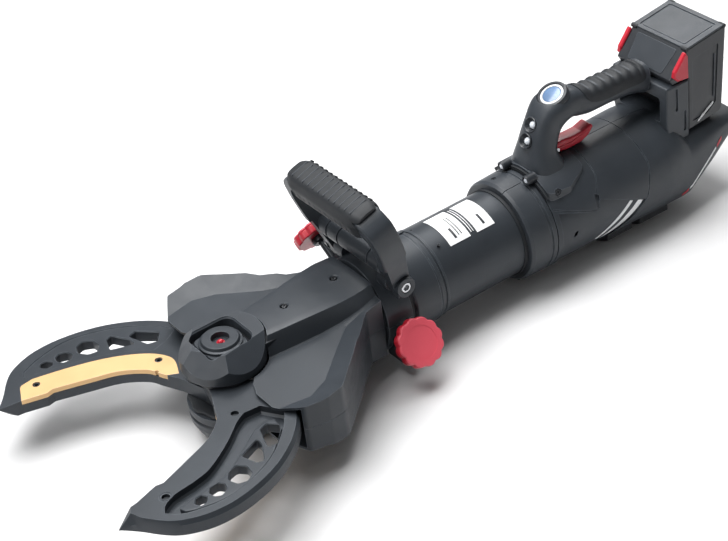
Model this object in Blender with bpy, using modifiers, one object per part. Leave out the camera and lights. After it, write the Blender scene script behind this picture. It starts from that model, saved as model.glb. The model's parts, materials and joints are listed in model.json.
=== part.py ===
"""Battery-driven hydraulic rescue cutter, as an assembly of separate pieces.

Metres. +X runs from the blades (-X) to the battery, +Z is up. The origin lies on the blades'
pivot axis, level with the skid under the front hub. Heights in this file are counted from the
tool axis, the centre line of the cylinder tube, which an empty holds AXIS_HEIGHT above the floor.
"""

import math

import bmesh
import bpy
from mathutils import Matrix, Vector

# ---- driving dimensions -------------------------------------------------------------------
AXIS_HEIGHT = 0.066
GAP = 0.0003

TUBE_RADIUS = 0.050
BORE_RADIUS = 0.040
ROD_RADIUS = 0.014

HUB_RADIUS = 0.0285
PIVOT_RADIUS = 0.0157
BLADE_THICK = 0.0175
INSERT_THICK = 0.0060
LEVER_THICK = 0.0140
LEVER = 0.046
LEVER_ANGLE = math.radians(43)
LINK_LENGTH = 0.067
LINK_THICK = 0.0120
CROSSHEAD_PIN_Y = 0.016
PIN_RADIUS = 0.0050
EYE_RADIUS = 0.013
LINK_SLACK = 0.0039
FORK_INNER = 0.027
WASHER_RADIUS = 0.026
FORK_OUTER = 0.0397

YOKE_HALF_WIDTH = 0.030
YOKE_FACE_X = 0.1245
YOKE_END_X = 0.165
YOKE_SPIGOT_RADIUS = 0.046
NOSE_RADIUS = 0.045
NOSE_INNER = 0.041

GUARD_WALL = 0.003
GUARD_FRONT_RADIUS = 0.047
GUARD_SCREWS = (0.0785, 0.1418)
GUARD_SCREW_RADIUS = 0.0029

CLAMP_X = (0.1665, 0.2040)
CLAMP_RADII = (0.0484, 0.0550)
BOSS = Vector((0.187, 0.0, 0.048))
HANDLE_LEAN = math.radians(18)
HANDLE_HALF_DEPTH = 0.015
CROSS_BAR_HEIGHT = 0.026
CROSS_BAR_RADIUS = 0.0118
CROSS_BAR_LENGTH = 0.122
KNOB_RADIUS = 0.027
KNOB_LOBES = 12
KNOB_TILT = math.radians(34)
KNOB_STUD_RADIUS = 0.005

SLEEVE_X = (0.2065, 0.2450)
SLEEVE_RADIUS = 0.0523
TUBE_X = (0.1505, 0.3720)
GLAND_X = 0.1655
BASE_X = 0.345
LABEL_X = (0.271, 0.333)
LABEL_ARC = (52, 108)
COLLAR_X = (0.3595, 0.3950)
COLLAR_RADIUS = 0.060

PUMP_RADIUS = 0.038
MOTOR_RADIUS = 0.036
ROTOR_RADIUS = 0.027
SHAFT_RADIUS = 0.005
BEARING_RADIUS = 0.016
HOUSING_X = (0.3960, 0.6810)
HOUSING_WALL = 0.003
FEET_X = {"front": (0.483, 0.520), "rear": (0.532, 0.575)}
FOOT_HALF_WIDTH = 0.034

GRIP_HALF_WIDTH = 0.0165
TRIGGER_PIVOT = Vector((0.440, 0.0, 0.0745))
TRIGGER_PIN_RADIUS = 0.0024
BUTTON_AXIS = Vector((-0.42, 0.0, 0.91)).normalized()
BUTTON_SEAT = Vector((0.4470, 0.0, 0.1370)) - 0.0080 * BUTTON_AXIS
LAMP_AXIS = Vector((-0.90, 0.0, 0.43)).normalized()
BATTERY_HALF_WIDTH = 0.043
BATTERY_FLOOR = 0.0362
LATCH_HALF_THICK = 0.00275

# ---- finishes: base colour, roughness, metallic -------------------------------------------
FINISHES = {
    "coated_steel": ((0.055, 0.062, 0.070), 0.45, 0.4),
    "dark_steel": ((0.020, 0.022, 0.025), 0.40, 0.6),
    "bright_steel": ((0.55, 0.56, 0.57), 0.25, 1.0),
    "blade_insert": ((0.93, 0.70, 0.38), 0.40, 0.6),
    "anthracite": ((0.060, 0.067, 0.075), 0.50, 0.0),
    "black_plastic": ((0.015, 0.016, 0.018), 0.45, 0.0),
    "black_rubber": ((0.022, 0.024, 0.027), 0.75, 0.0),
    "red_plastic": ((0.62, 0.02, 0.05), 0.45, 0.0),
    "white_label": ((0.88, 0.88, 0.88), 0.50, 0.0),
    "lamp_lens": ((0.90, 0.92, 0.95), 0.08, 0.0),
    "blue_display": ((0.20, 0.38, 0.62), 0.25, 0.0),
    "aluminium": ((0.60, 0.61, 0.62), 0.35, 1.0),
    "copper_winding": ((0.65, 0.30, 0.12), 0.35, 0.9),
    "green_board": ((0.03, 0.22, 0.08), 0.50, 0.0),
}


# ---- building tools -----------------------------------------------------------------------
def clear_scene():
    for old in list(bpy.data.objects):
        bpy.data.objects.remove(old, do_unlink=True)


def new_collection(name):
    collection = bpy.data.collections.new(name)
    bpy.context.scene.collection.children.link(collection)
    return collection


def finish_of(name):
    found = bpy.data.materials.get(name)
    if found:
        return found
    colour, roughness, metallic = FINISHES[name]
    made = bpy.data.materials.new(name)
    made.use_nodes = True
    shader = made.node_tree.nodes["Principled BSDF"]
    shader.inputs["Base Color"].default_value = (*colour, 1.0)
    shader.inputs["Roughness"].default_value = roughness
    shader.inputs["Metallic"].default_value = metallic
    made.diffuse_color = (*colour, 1.0)
    return made


def keep(name, mesh, finish, place=None):
    """A named piece of the cutter, hung on the tool axis."""
    piece = bpy.data.objects.new(name, mesh)
    PARTS.objects.link(piece)
    piece.parent = TOOL_AXIS
    if place:
        piece.matrix_local = place
    mesh.materials.clear()
    mesh.materials.append(finish_of(finish))
    mesh.shade_smooth()
    mesh.set_sharp_from_angle(angle=math.radians(35))
    return piece


def as_cutter(mesh, place=None):
    """A hidden shape that Booleans read."""
    shape = bpy.data.objects.new("cutter", mesh)
    CUTTERS.objects.link(shape)
    shape.parent = TOOL_AXIS
    if place:
        shape.matrix_local = place
    shape.hide_render = True
    shape.display_type = "WIRE"
    return shape


def combine(piece, other, operation):
    step = piece.modifiers.new(operation.lower(), "BOOLEAN")
    step.operation = operation
    step.solver = "EXACT"
    step.object = other
    return piece


def cut(piece, *others):
    for other in others:
        combine(piece, other, "DIFFERENCE")
    return piece


def bevel(piece, width, segments=1, angle=40):
    step = piece.modifiers.new("edges", "BEVEL")
    step.width = width
    step.segments = segments
    step.limit_method = "ANGLE"
    step.angle_limit = math.radians(angle)
    return piece


def box_mesh(low, high):
    mesh = bpy.data.meshes.new("box")
    work = bmesh.new()
    bmesh.ops.create_cube(work, size=1.0)
    size = [b - a for a, b in zip(low, high)]
    middle = [(a + b) / 2 for a, b in zip(low, high)]
    bmesh.ops.scale(work, vec=size, verts=work.verts)
    bmesh.ops.translate(work, vec=middle, verts=work.verts)
    work.to_mesh(mesh)
    work.free()
    return mesh


def rod_mesh(radius, length, steps=24, far_radius=None):
    """A cylinder or cone standing on local Z=0."""
    mesh = bpy.data.meshes.new("rod")
    work = bmesh.new()
    bmesh.ops.create_cone(
        work,
        cap_ends=True,
        segments=steps,
        radius1=radius,
        radius2=radius if far_radius is None else far_radius,
        depth=length,
        matrix=Matrix.Translation((0, 0, length / 2)),
    )
    work.to_mesh(mesh)
    work.free()
    return mesh


def turned_mesh(profile, steps=32, ring=True):
    """The solid swept by a profile of (radius, height) round local Z, outer side first, top down."""
    mesh = bpy.data.meshes.new("profile")
    points = [(radius, 0.0, height) for radius, height in profile]
    edges = [(i, i + 1) for i in range(len(points) - 1)]
    if ring:
        edges.append((len(points) - 1, 0))
    mesh.from_pydata(points, edges, [])
    lathe = bpy.data.objects.new("lathe", mesh)
    bpy.context.scene.collection.objects.link(lathe)
    screw = lathe.modifiers.new("turn", "SCREW")
    screw.steps = steps
    screw.render_steps = steps
    screw.use_merge_vertices = True
    screw.merge_threshold = 0.00001
    bpy.context.view_layer.update()
    graph = bpy.context.evaluated_depsgraph_get()
    solid = bpy.data.meshes.new_from_object(lathe.evaluated_get(graph))
    bpy.data.objects.remove(lathe, do_unlink=True)
    return solid


def plate_mesh(outline, low, high):
    """A flat outline in XY, filled from height low to height high."""
    curve = bpy.data.curves.new("outline", "CURVE")
    curve.dimensions = "2D"
    curve.fill_mode = "BOTH"
    curve.extrude = (high - low) / 2
    line = curve.splines.new("POLY")
    line.points.add(len(outline) - 1)
    for point, (x, y) in zip(line.points, outline):
        point.co = (x, y, 0.0, 1.0)
    line.use_cyclic_u = True
    holder = bpy.data.objects.new("outline", curve)
    bpy.context.scene.collection.objects.link(holder)
    bpy.context.view_layer.update()
    graph = bpy.context.evaluated_depsgraph_get()
    mesh = bpy.data.meshes.new_from_object(holder.evaluated_get(graph))
    bpy.data.objects.remove(holder, do_unlink=True)
    work = bmesh.new()
    work.from_mesh(mesh)
    bmesh.ops.remove_doubles(work, verts=work.verts, dist=0.000001)
    bmesh.ops.translate(work, vec=(0, 0, (low + high) / 2), verts=work.verts)
    bmesh.ops.recalc_face_normals(work, faces=work.faces)
    work.to_mesh(mesh)
    work.free()
    return mesh


def loft_mesh(sections, capped=True):
    """A skin over rings of equally many points, closed at both ends unless capped is False."""
    mesh = bpy.data.meshes.new("loft")
    work = bmesh.new()
    rings = [[work.verts.new(point) for point in section] for section in sections]
    for near, far in zip(rings, rings[1:]):
        for i, corner in enumerate(near):
            j = (i + 1) % len(near)
            work.faces.new((corner, near[j], far[j], far[i]))
    if capped:
        work.faces.new(list(reversed(rings[0])))
        work.faces.new(rings[-1])
    bmesh.ops.recalc_face_normals(work, faces=work.faces)
    work.to_mesh(mesh)
    work.free()
    return mesh


def arc(centre, radius, start, stop, count):
    """Points on an arc, angles in degrees, both ends included."""
    angles = [math.radians(start + (stop - start) * i / (count - 1)) for i in range(count)]
    return [(centre[0] + radius * math.cos(a), centre[1] + radius * math.sin(a)) for a in angles]


def smooth(points, per_span=2):
    """A Catmull-Rom line through the points, ends kept."""
    line = []
    padded = [points[0], *points, points[-1]]
    for a, b, c, d in zip(padded, padded[1:], padded[2:], padded[3:]):
        for i in range(per_span):
            t = i / per_span
            line.append(
                tuple(
                    0.5 * (2 * q + (r - p) * t + (2 * p - 5 * q + 4 * r - s) * t**2
                           + (3 * q - p - 3 * r + s) * t**3)
                    for p, q, r, s in zip(a, b, c, d)
                )
            )
    return [*line, points[-1]]


def section(centre, half_width, up, down, power, count=32, tilt=0.0):
    """A rounded ring across X: centre (x, z), superellipse of the given power, leant by tilt."""
    ring = []
    for i in range(count):
        angle = 2 * math.pi * i / count
        c, s = math.cos(angle), math.sin(angle)
        y = half_width * math.copysign(abs(c) ** (2 / power), c)
        z = (up if s > 0 else down) * math.copysign(abs(s) ** (2 / power), s)
        ring.append((centre[0] - z * math.sin(tilt), y, centre[1] + z * math.cos(tilt)))
    return ring


def facing(origin, direction):
    """The place of a shape whose local Z points along direction."""
    turn = Vector(direction).normalized().to_track_quat("Z", "Y").to_matrix().to_4x4()
    return Matrix.Translation(origin) @ turn


def along_x(x):
    """The place of a turned shape whose local Z runs along +X from x."""
    return Matrix.Translation((x, 0, 0)) @ Matrix.Rotation(math.pi / 2, 4, "Y")


def side_mesh(outline, half_width, middle=0.0):
    """A plate whose outline is in XZ, centred on Y = middle."""
    mesh = plate_mesh([(x, -z) for x, z in outline], -half_width, half_width)
    mesh.transform(Matrix.Translation((0, middle, 0)) @ Matrix.Rotation(math.radians(-90), 4, "X"))
    return mesh


def tube_mesh(outer, inner, length, steps=32):
    """A ring of constant section standing on local Z=0."""
    return turned_mesh([(outer, length), (outer, 0), (inner, 0), (inner, length)], steps)


def lever_pin(side):
    """The tail pin of the blade on this side (+1 far, -1 near)."""
    return Vector((LEVER * math.cos(LEVER_ANGLE), side * LEVER * math.sin(LEVER_ANGLE), 0))


def crosshead_x():
    rise = LEVER * math.sin(LEVER_ANGLE) - CROSSHEAD_PIN_Y
    return LEVER * math.cos(LEVER_ANGLE) + math.sqrt(LINK_LENGTH**2 - rise**2)


# ---- cutting head -------------------------------------------------------------------------
def blade_edge():
    """The cutting edge of the blade on the +Y side, from the tip to the hub, with a beak near the tip."""
    beak = [(-0.2015, 0.1215), (-0.1760, 0.1175), (-0.1510, 0.1098)]
    return [*beak, *smooth([(-0.1430, 0.1115), (-0.1060, 0.0985), (-0.0770, 0.0873), (-0.0550, 0.0690),
                            (-0.0470, 0.0520), (-0.0370, 0.0300)])]


def blade_back():
    """The outer edge, from the root under the guard to the tip."""
    return smooth([(0.026, 0.070), (0.018, 0.100), (0.006, 0.124), (-0.014, 0.146), (-0.040, 0.164),
                   (-0.065, 0.175), (-0.092, 0.1815), (-0.116, 0.183), (-0.138, 0.1795), (-0.160, 0.1695),
                   (-0.174, 0.156), (-0.187, 0.138), (-0.2015, 0.1215)])


def insert_back():
    """The line between insert and blade, from the tip end to the root."""
    return smooth([(-0.165, 0.135), (-0.151, 0.1415), (-0.117, 0.132), (-0.084, 0.120),
                   (-0.058, 0.106), (-0.038, 0.090), (-0.026, 0.072), (-0.024, 0.060)])


def insert_outline():
    edge = [point for point in blade_edge() if -0.177 < point[0] < -0.046]
    return [*insert_back(), (-0.038, 0.051), *reversed(edge)]


def web_outline():
    """The recess round the row of holes, bounded by the rim outside and the cutting band inside."""
    rim_side = smooth([(-0.154, 0.156), (-0.130, 0.167), (-0.088, 0.1715),
                       (-0.040, 0.153), (-0.008, 0.124)])
    return [(-0.155, 0.150), *rim_side, (-0.006, 0.106), (-0.022, 0.096), *grown_line(insert_back()[2:-4])]


def grown_line(line, distance=0.0015):
    """The line from tip to root moved outwards, read from the root back to the tip."""
    moved = []
    for (x0, y0), (x1, y1) in zip(line, line[1:]):
        way = Vector((y1 - y0, x0 - x1)).normalized()
        moved.append(((x0 + x1) / 2 - way.x * distance, (y0 + y1) / 2 - way.y * distance))
    return moved[::-1]


HOLES = [  # centre, radius, corners
    ((-0.1280, 0.1530), 0.0062, 12), ((-0.1075, 0.1510), 0.0078, 12), ((-0.0810, 0.1470), 0.0095, 6),
    ((-0.0520, 0.1310), 0.0115, 3), ((-0.0255, 0.1145), 0.0110, 4)]
INSERT_BOLTS = [(-0.1520, 0.1305), (-0.0370, 0.0745)]
INSERT_BOLT_RADIUS = 0.0042


def flip(name):
    """The blades are one part: the near one is the far one turned over about X."""
    return Matrix.Identity(4) if name == "far" else Matrix.Rotation(math.pi, 4, "X")


def hole_outline(centre, radius, corners):
    first = {3: 90, 4: 45}.get(corners, 0)
    angles = [math.radians(first + 360 * i / corners) for i in range(corners)]
    return [(centre[0] + radius * math.cos(a), centre[1] + radius * math.sin(a)) for a in angles]


def grown(outline, distance):
    """The outline moved outwards (or inwards, if negative) about its own edges."""
    area = sum(a[0] * b[1] - b[0] * a[1] for a, b in zip(outline, outline[1:] + outline[:1]))
    sign = math.copysign(1, area)
    moved = []
    for a, b, c in zip(outline[-1:] + outline[:-1], outline, outline[1:] + outline[:1]):
        first = Vector((b[1] - a[1], a[0] - b[0])).normalized()
        second = Vector((c[1] - b[1], b[0] - c[0])).normalized()
        way = (first + second).normalized()
        step = sign * distance / max(0.5, way.dot(first))
        moved.append((b[0] + way.x * step, b[1] + way.y * step))
    return moved


def drill(piece, radius, place, steps=24, depth=0.05):
    """A round hole through the piece, to depth on both sides of place along its local Z."""
    cut(piece, as_cutter(rod_mesh(radius, 2 * depth, steps), place @ Matrix.Translation((0, 0, -depth))))


def build_blade(name):
    """The shear face is at local height 0 and the blade lies below it, its web sunk from both faces."""
    turn = flip(name)
    tail = lever_pin(1)
    body = [*blade_back(), *blade_edge()[1:], *arc((0, 0), HUB_RADIUS, 142, 180, 3)]
    blade = keep(f"blade_{name}", plate_mesh(body, -BLADE_THICK, -GAP), "coated_steel", turn)
    hub = arc((0, 0), HUB_RADIUS, 0, 345, 24)
    lug = [(0.014, 0.004), *arc((tail.x, tail.y), EYE_RADIUS, -50, 130, 8), (0.004, 0.022)]
    combine(blade, as_cutter(plate_mesh(hub, -BLADE_THICK, -GAP), turn), "UNION")
    combine(blade, as_cutter(plate_mesh(lug, -LEVER_THICK, -0.0004), turn), "UNION")
    pocket_depth = INSERT_THICK + GAP
    cut(blade, as_cutter(plate_mesh(grown(insert_outline(), GAP), -pocket_depth, 0.02), turn))
    cut(blade, as_cutter(plate_mesh(web_outline(), -0.0013, 0.02), turn))
    cut(blade, as_cutter(plate_mesh(web_outline(), -0.04, -0.0120), turn))
    for centre, radius, corners in HOLES:
        cut(blade, as_cutter(plate_mesh(hole_outline(centre, radius, corners), -0.03, 0.03), turn))
    for x, y in INSERT_BOLTS:
        drill(blade, INSERT_BOLT_RADIUS, turn @ Matrix.Translation((x, y, 0)), 8)
    drill(blade, PIVOT_RADIUS + GAP, Matrix.Identity(4))
    drill(blade, PIN_RADIUS + GAP, turn @ Matrix.Translation(tail), 16)


def build_insert(name):
    turn = flip(name)
    insert = keep(f"insert_{name}", plate_mesh(insert_outline(), -INSERT_THICK, -GAP), "blade_insert", turn)
    for x, y in INSERT_BOLTS:
        drill(insert, INSERT_BOLT_RADIUS, turn @ Matrix.Translation((x, y, 0)), 8)


def build_link(name, side):
    """The far link lies above the shear plane and the near one below it."""
    tail = lever_pin(side)
    head = Vector((crosshead_x(), side * CROSSHEAD_PIN_Y, 0))
    run = tail - head
    turn = Matrix.Translation(head) @ Matrix.Rotation(math.atan2(run.y, run.x), 4, "Z")
    waist = [(0.020, 0.0070), (0.046, 0.0070)]
    outline = [*waist[::-1], *arc((0, 0), 0.0105, 50, 310, 10), *((x, -y) for x, y in waist),
               *arc((LINK_LENGTH, 0), EYE_RADIUS, -130, 130, 14)]
    clear = 2 * GAP
    low, high = (clear, clear + LINK_THICK) if side > 0 else (-clear - LINK_THICK, -clear)
    link = keep(f"link_{name}", plate_mesh(outline, low, high), "dark_steel", turn)
    drill(link, PIN_RADIUS + GAP, turn, 16)
    drill(link, PIN_RADIUS + LINK_SLACK, turn @ Matrix.Translation((LINK_LENGTH, 0, 0)))
    longer, shorter = LEVER_THICK + 0.0015, LINK_THICK + 0.0025
    foot = -longer if side > 0 else -shorter
    pin = rod_mesh(PIN_RADIUS, longer + shorter, 16)
    keep(f"tail_pin_{name}", pin, "bright_steel", Matrix.Translation((tail.x, tail.y, foot)))


def build_crosshead():
    """A forked block: two cheeks over and under the links, and the rod's seat behind them."""
    x = crosshead_x()
    block = box_mesh((x - 0.0110, -0.0250, -0.0260), (x + 0.0245, 0.0250, 0.0260))
    head = keep("crosshead", block, "dark_steel")
    cut(head, as_cutter(box_mesh((x - 0.03, -0.05, -0.0180), (x + 0.0125, 0.05, 0.0180))))
    bevel(head, 0.002)
    for side in (1, -1):
        place = Matrix.Translation((x, side * CROSSHEAD_PIN_Y, -0.0255))
        combine(head, as_cutter(rod_mesh(PIN_RADIUS, 0.0510, 16), place), "UNION")


def build_yoke():
    """The fork that holds the pivot, with the spigot that screws into the cylinder."""
    seat = 0.150
    neck = [*arc((0, 0), 0.040, 48, 312, 14), (seat, -YOKE_HALF_WIDTH), (seat, YOKE_HALF_WIDTH)]
    yoke = keep("yoke", plate_mesh(neck, -FORK_OUTER, FORK_OUTER), "coated_steel")
    start = 0.125
    spigot = BORE_RADIUS - GAP
    shoulder = TUBE_X[0] - GAP - start
    boss = turned_mesh([(0, YOKE_END_X - start), (spigot, YOKE_END_X - start), (spigot, shoulder),
                        (YOKE_SPIGOT_RADIUS, shoulder), (YOKE_SPIGOT_RADIUS, 0.0), (0, 0.0)],
                       32, ring=False)
    combine(yoke, as_cutter(boss, along_x(start)), "UNION")
    cut(yoke, as_cutter(box_mesh((-0.08, -0.08, -FORK_INNER), (YOKE_FACE_X, 0.08, FORK_INNER))))
    drill(yoke, PIVOT_RADIUS + GAP, Matrix.Identity(4))
    drill(yoke, ROD_RADIUS + GAP, along_x(0.15))


def build_pivot():
    head, recess, foot = 0.0220, 0.0095, -0.0520
    bolt = turned_mesh([(0, 0.0435), (recess, 0.0435), (recess, 0.0495), (0.0190, 0.0495),
                        (head, 0.0475), (head, 0.0400), (PIVOT_RADIUS, 0.0400),
                        (PIVOT_RADIUS, foot), (0, foot)], 24, ring=False)
    keep("pivot_bolt", bolt, "dark_steel")
    nut = tube_mesh(0.0230, PIVOT_RADIUS + GAP, 0.0100, 24)
    keep("pivot_nut", nut, "dark_steel", Matrix.Translation((0, 0, -0.0500)))
    thick = FORK_INNER - BLADE_THICK - 2 * GAP
    for name, low in (("upper", BLADE_THICK + GAP), ("lower", GAP - FORK_INNER)):
        ring = tube_mesh(WASHER_RADIUS, PIVOT_RADIUS + GAP, thick, 24)
        keep(f"thrust_washer_{name}", ring, "bright_steel", Matrix.Translation((0, 0, low)))


def build_nose_covers():
    """Caps over the fork arms; the lower one ends in the skid that the tool rests on."""
    room = YOKE_HALF_WIDTH + 2 * GAP
    neck = as_cutter(box_mesh((0.005, -room, -0.0400), (0.060, room, 0.0400)))
    upper = turned_mesh([(0.0245, 0.0420), (0.0300, 0.0465), (0.0360, 0.0462), (0.0430, 0.0400),
                         (NOSE_RADIUS, 0.0330), (NOSE_RADIUS, 0.0225), (NOSE_INNER, 0.0225),
                         (NOSE_INNER, 0.0400), (0.0245, 0.0400)], 28)
    cut(keep("nose_cover_upper", upper, "anthracite"), neck)
    lower = turned_mesh([(0, -AXIS_HEIGHT), (0.0300, -AXIS_HEIGHT), (0.0400, -0.0520),
                         (NOSE_RADIUS, -0.0400), (NOSE_RADIUS, -0.0225), (NOSE_INNER, -0.0225),
                         (NOSE_INNER, -0.0400), (0.0260, -0.0400), (0.0260, -0.0535), (0, -0.0535)],
                        28, ring=False)
    cut(keep("nose_cover_lower", lower, "anthracite"), neck)


GUARD_STATIONS = [  # x, half width, spine half width, spine top, wing top, wing edge top
    (-0.0050, 0.126, 0.026, 0.0470, 0.0250, 0.0200), (0.0110, 0.128, 0.026, 0.0470, 0.0250, 0.0200),
    (0.0300, 0.132, 0.027, 0.0475, 0.0250, 0.0200), (0.0510, 0.130, 0.030, 0.0480, 0.0250, 0.0200),
    (0.0930, 0.097, 0.034, 0.0485, 0.0260, 0.0210), (0.1250, 0.068, 0.0385, 0.0500, 0.0300, 0.0230),
    (0.1420, 0.0530, 0.0390, 0.0505, 0.0340, 0.0240), (0.1640, 0.0510, 0.0300, 0.0510, 0.0350, 0.0250)]


def guard_section(x, width, spine, top, wing, edge):
    half = [(0, top), (spine * 0.7, top - 0.0005), (spine, top - 0.003), (spine + 0.008, wing),
            (max(width - 0.020, spine + 0.010), wing - 0.001), (width, edge), (width + 0.0003, GAP)]
    return [*((x, y, z) for y, z in reversed(half)), *((x, -y, z) for y, z in half[1:])]


def open_sheet(rows):
    """A surface over rows of equally many points."""
    mesh = bpy.data.meshes.new("sheet")
    work = bmesh.new()
    grid = [[work.verts.new(point) for point in row] for row in rows]
    for near, far in zip(grid, grid[1:]):
        for i in range(len(near) - 1):
            work.faces.new((near[i], near[i + 1], far[i + 1], far[i]))
    work.to_mesh(mesh)
    work.free()
    return mesh


def build_guard(name, sign):
    """One half of the winged guard; the lower half is the mirror image of the upper one."""
    rows = [[(x, y, sign * z) for x, y, z in guard_section(*row)] for row in GUARD_STATIONS]
    if sign < 0:
        rows = [row[::-1] for row in rows]
    guard = keep(f"guard_{name}", open_sheet(rows), "anthracite")
    wall = guard.modifiers.new("wall", "SOLIDIFY")
    wall.thickness = GUARD_WALL
    wall.offset = 1.0
    wall.use_even_offset = True
    nose_hole = rod_mesh(GUARD_FRONT_RADIUS, 0.10, 28)
    cut(guard, as_cutter(nose_hole, Matrix.Translation((0, 0, 0 if sign > 0 else -0.10))))
    cut(guard, as_cutter(box_mesh((-0.06, -0.035, -0.08), (0.012, 0.035, 0.08))))
    cut(guard, as_cutter(box_mesh((-0.10, -0.2, -GAP), (0.2, 0.2, GAP))))
    corner = [(-0.02, 0.096), (-0.003, 0.104), (0.005, 0.113), (0.011, 0.127), (0.011, 0.15), (-0.02, 0.15)]
    for side in (1, -1):
        cut(guard, as_cutter(plate_mesh([(x, side * y) for x, y in corner], -0.06, 0.06)))
    if sign > 0:
        for x in GUARD_SCREWS:
            drill(guard, GUARD_SCREW_RADIUS, Matrix.Translation((x, 0, 0.05)), 12)


# ---- cylinder -----------------------------------------------------------------------------
def build_ram():
    """The rod with its threaded end, and the piston on it."""
    start = crosshead_x() + 0.0248
    thread, run, end = 0.0097, 0.142, 0.172
    rod = turned_mesh([(0, end), (thread, end), (thread, run), (ROD_RADIUS, run), (ROD_RADIUS, 0), (0, 0)],
                      24, ring=False)
    keep("piston_rod", rod, "bright_steel", along_x(start))
    face, nut, thick, length = BORE_RADIUS - GAP, 0.0170, 0.020, 0.029
    piston = turned_mesh([(nut, length), (nut, thick), (face, thick), (face, 0), (thread + GAP, 0),
                          (thread + GAP, length)], 32)
    keep("piston", piston, "bright_steel", along_x(start + run + GAP))


def build_cylinder():
    keep("rod_gland", tube_mesh(BORE_RADIUS - GAP, ROD_RADIUS + GAP, 0.020), "aluminium", along_x(GLAND_X))
    length = TUBE_X[1] - TUBE_X[0]
    step = SLEEVE_X[0] - 0.001 - TUBE_X[0]
    turned_down = 0.0480
    tube = turned_mesh([(TUBE_RADIUS, length), (TUBE_RADIUS, step), (turned_down, step - 0.001),
                        (turned_down, 0), (BORE_RADIUS, 0), (BORE_RADIUS, length)], 32)
    keep("cylinder_tube", tube, "coated_steel", along_x(TUBE_X[0]))
    keep("cylinder_base", rod_mesh(BORE_RADIUS - GAP, 0.027, 32), "aluminium", along_x(BASE_X))
    band = tube_mesh(SLEEVE_RADIUS, TUBE_RADIUS + GAP, SLEEVE_X[1] - SLEEVE_X[0])
    sleeve = keep("front_sleeve", band, "anthracite", along_x(SLEEVE_X[0]))
    cut(sleeve, as_cutter(box_mesh((0.219, 0.006, 0.040), (0.240, 0.0105, 0.060))))
    run = COLLAR_X[1] - COLLAR_X[0]
    outer, inner = COLLAR_RADIUS, TUBE_RADIUS + GAP
    collar_ring = turned_mesh([(outer, run), (outer - 0.001, 0.008), (outer - 0.004, 0.0),
                               (inner, 0), (inner, run)], 32)
    collar = keep("rear_collar", collar_ring, "anthracite", along_x(COLLAR_X[0]))
    combine(collar, as_cutter(box_mesh((0.370, -0.017, -0.0645), (0.3945, 0.017, -0.0530))), "UNION")
    band = [*arc((0, 0), TUBE_RADIUS + 0.0009, *LABEL_ARC[::-1], 12), *arc((0, 0), inner, *LABEL_ARC, 12)]
    label = plate_mesh([(-z, -y) for y, z in band], 0, LABEL_X[1] - LABEL_X[0])
    keep("rating_label", label, "white_label", along_x(LABEL_X[0]))


# ---- carry handle -------------------------------------------------------------------------
def knob_place(sign):
    """The centre and outward axis of the far (+1) or near (-1) clamping knob."""
    centre = (0.185, 0.093, 0.041) if sign > 0 else (0.185, -0.080, -0.014)
    return Vector(centre), Vector((0, sign * math.cos(KNOB_TILT), math.sin(KNOB_TILT)))


def boss_place(side, out):
    """On the axis of the handle's boss bolts, out from the middle of the tool, looking outwards."""
    return facing((BOSS.x, side * out, BOSS.z), (0, side, 0))


def build_clamp():
    """The split ring that the carry handle turns on, with a lug for each clamping knob."""
    inner, outer = CLAMP_RADII
    lugs = {1: ((0.174, 0.040, 0.004), (0.196, 0.059, 0.029)),
            -1: ((0.174, -0.064, -0.047), (0.196, -0.036, -0.020))}
    for name, sign in (("upper", 1), ("lower", -1)):
        ring = tube_mesh(outer, inner, CLAMP_X[1] - CLAMP_X[0])
        half = keep(f"clamp_{name}", ring, "dark_steel", along_x(CLAMP_X[0]))
        if sign > 0:
            for side in (1, -1):
                combine(half, as_cutter(rod_mesh(0.0125, 0.0150, 20), boss_place(side, 0.0385)), "UNION")
        combine(half, as_cutter(box_mesh(*lugs[sign])), "UNION")
        away = sorted((sign * GAP / 2, -sign * 0.12))
        cut(half, as_cutter(box_mesh((0.10, -0.12, away[0]), (0.25, 0.12, away[1]))))
        drill(half, inner, along_x(0.185), 32, 0.04)
        if sign > 0:
            for side in (1, -1):
                drill(half, 0.0045, boss_place(side, 0.0550), 16, 0.01)
        centre, axis = knob_place(sign)
        drill(half, KNOB_STUD_RADIUS + 2 * GAP, facing(centre - axis * 0.028, axis), 16, 0.030)


def build_knob(name, sign):
    centre, axis = knob_place(sign)
    depth = 0.0016
    steps = 4 * KNOB_LOBES
    star = []
    for i in range(steps):
        angle = 2 * math.pi * i / steps
        radius = KNOB_RADIUS - depth + depth * math.cos(KNOB_LOBES * angle)
        star.append((radius * math.cos(angle), radius * math.sin(angle)))
    place = facing(centre, axis)
    knob = keep(f"knob_{name}", plate_mesh(star, -0.006, 0.006), "red_plastic", place)
    neck = place @ Matrix.Translation((0, 0, -0.0125))
    stud = place @ Matrix.Translation((0, 0, -0.0500))
    combine(knob, as_cutter(rod_mesh(0.0105, 0.010, 16), neck), "UNION")
    combine(knob, as_cutter(rod_mesh(KNOB_STUD_RADIUS, 0.039, 16), stud), "UNION")


def leaned(u, v):
    """A point in the carry handle's leaning plane: u across, v up from the boss."""
    return Vector((BOSS.x - v * math.sin(HANDLE_LEAN), u, BOSS.z + v * math.cos(HANDLE_LEAN)))


def handle_place():
    """Local X across the tool, local Y up the leaning handle."""
    x_axis = Vector((0, 1, 0))
    y_axis = Vector((-math.sin(HANDLE_LEAN), 0, math.cos(HANDLE_LEAN)))
    turn = Matrix((x_axis, y_axis, x_axis.cross(y_axis))).transposed().to_4x4()
    return Matrix.Translation(BOSS) @ turn


def both_sides(half):
    return [*half, *((-x, y) for x, y in reversed(half))]


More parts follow.
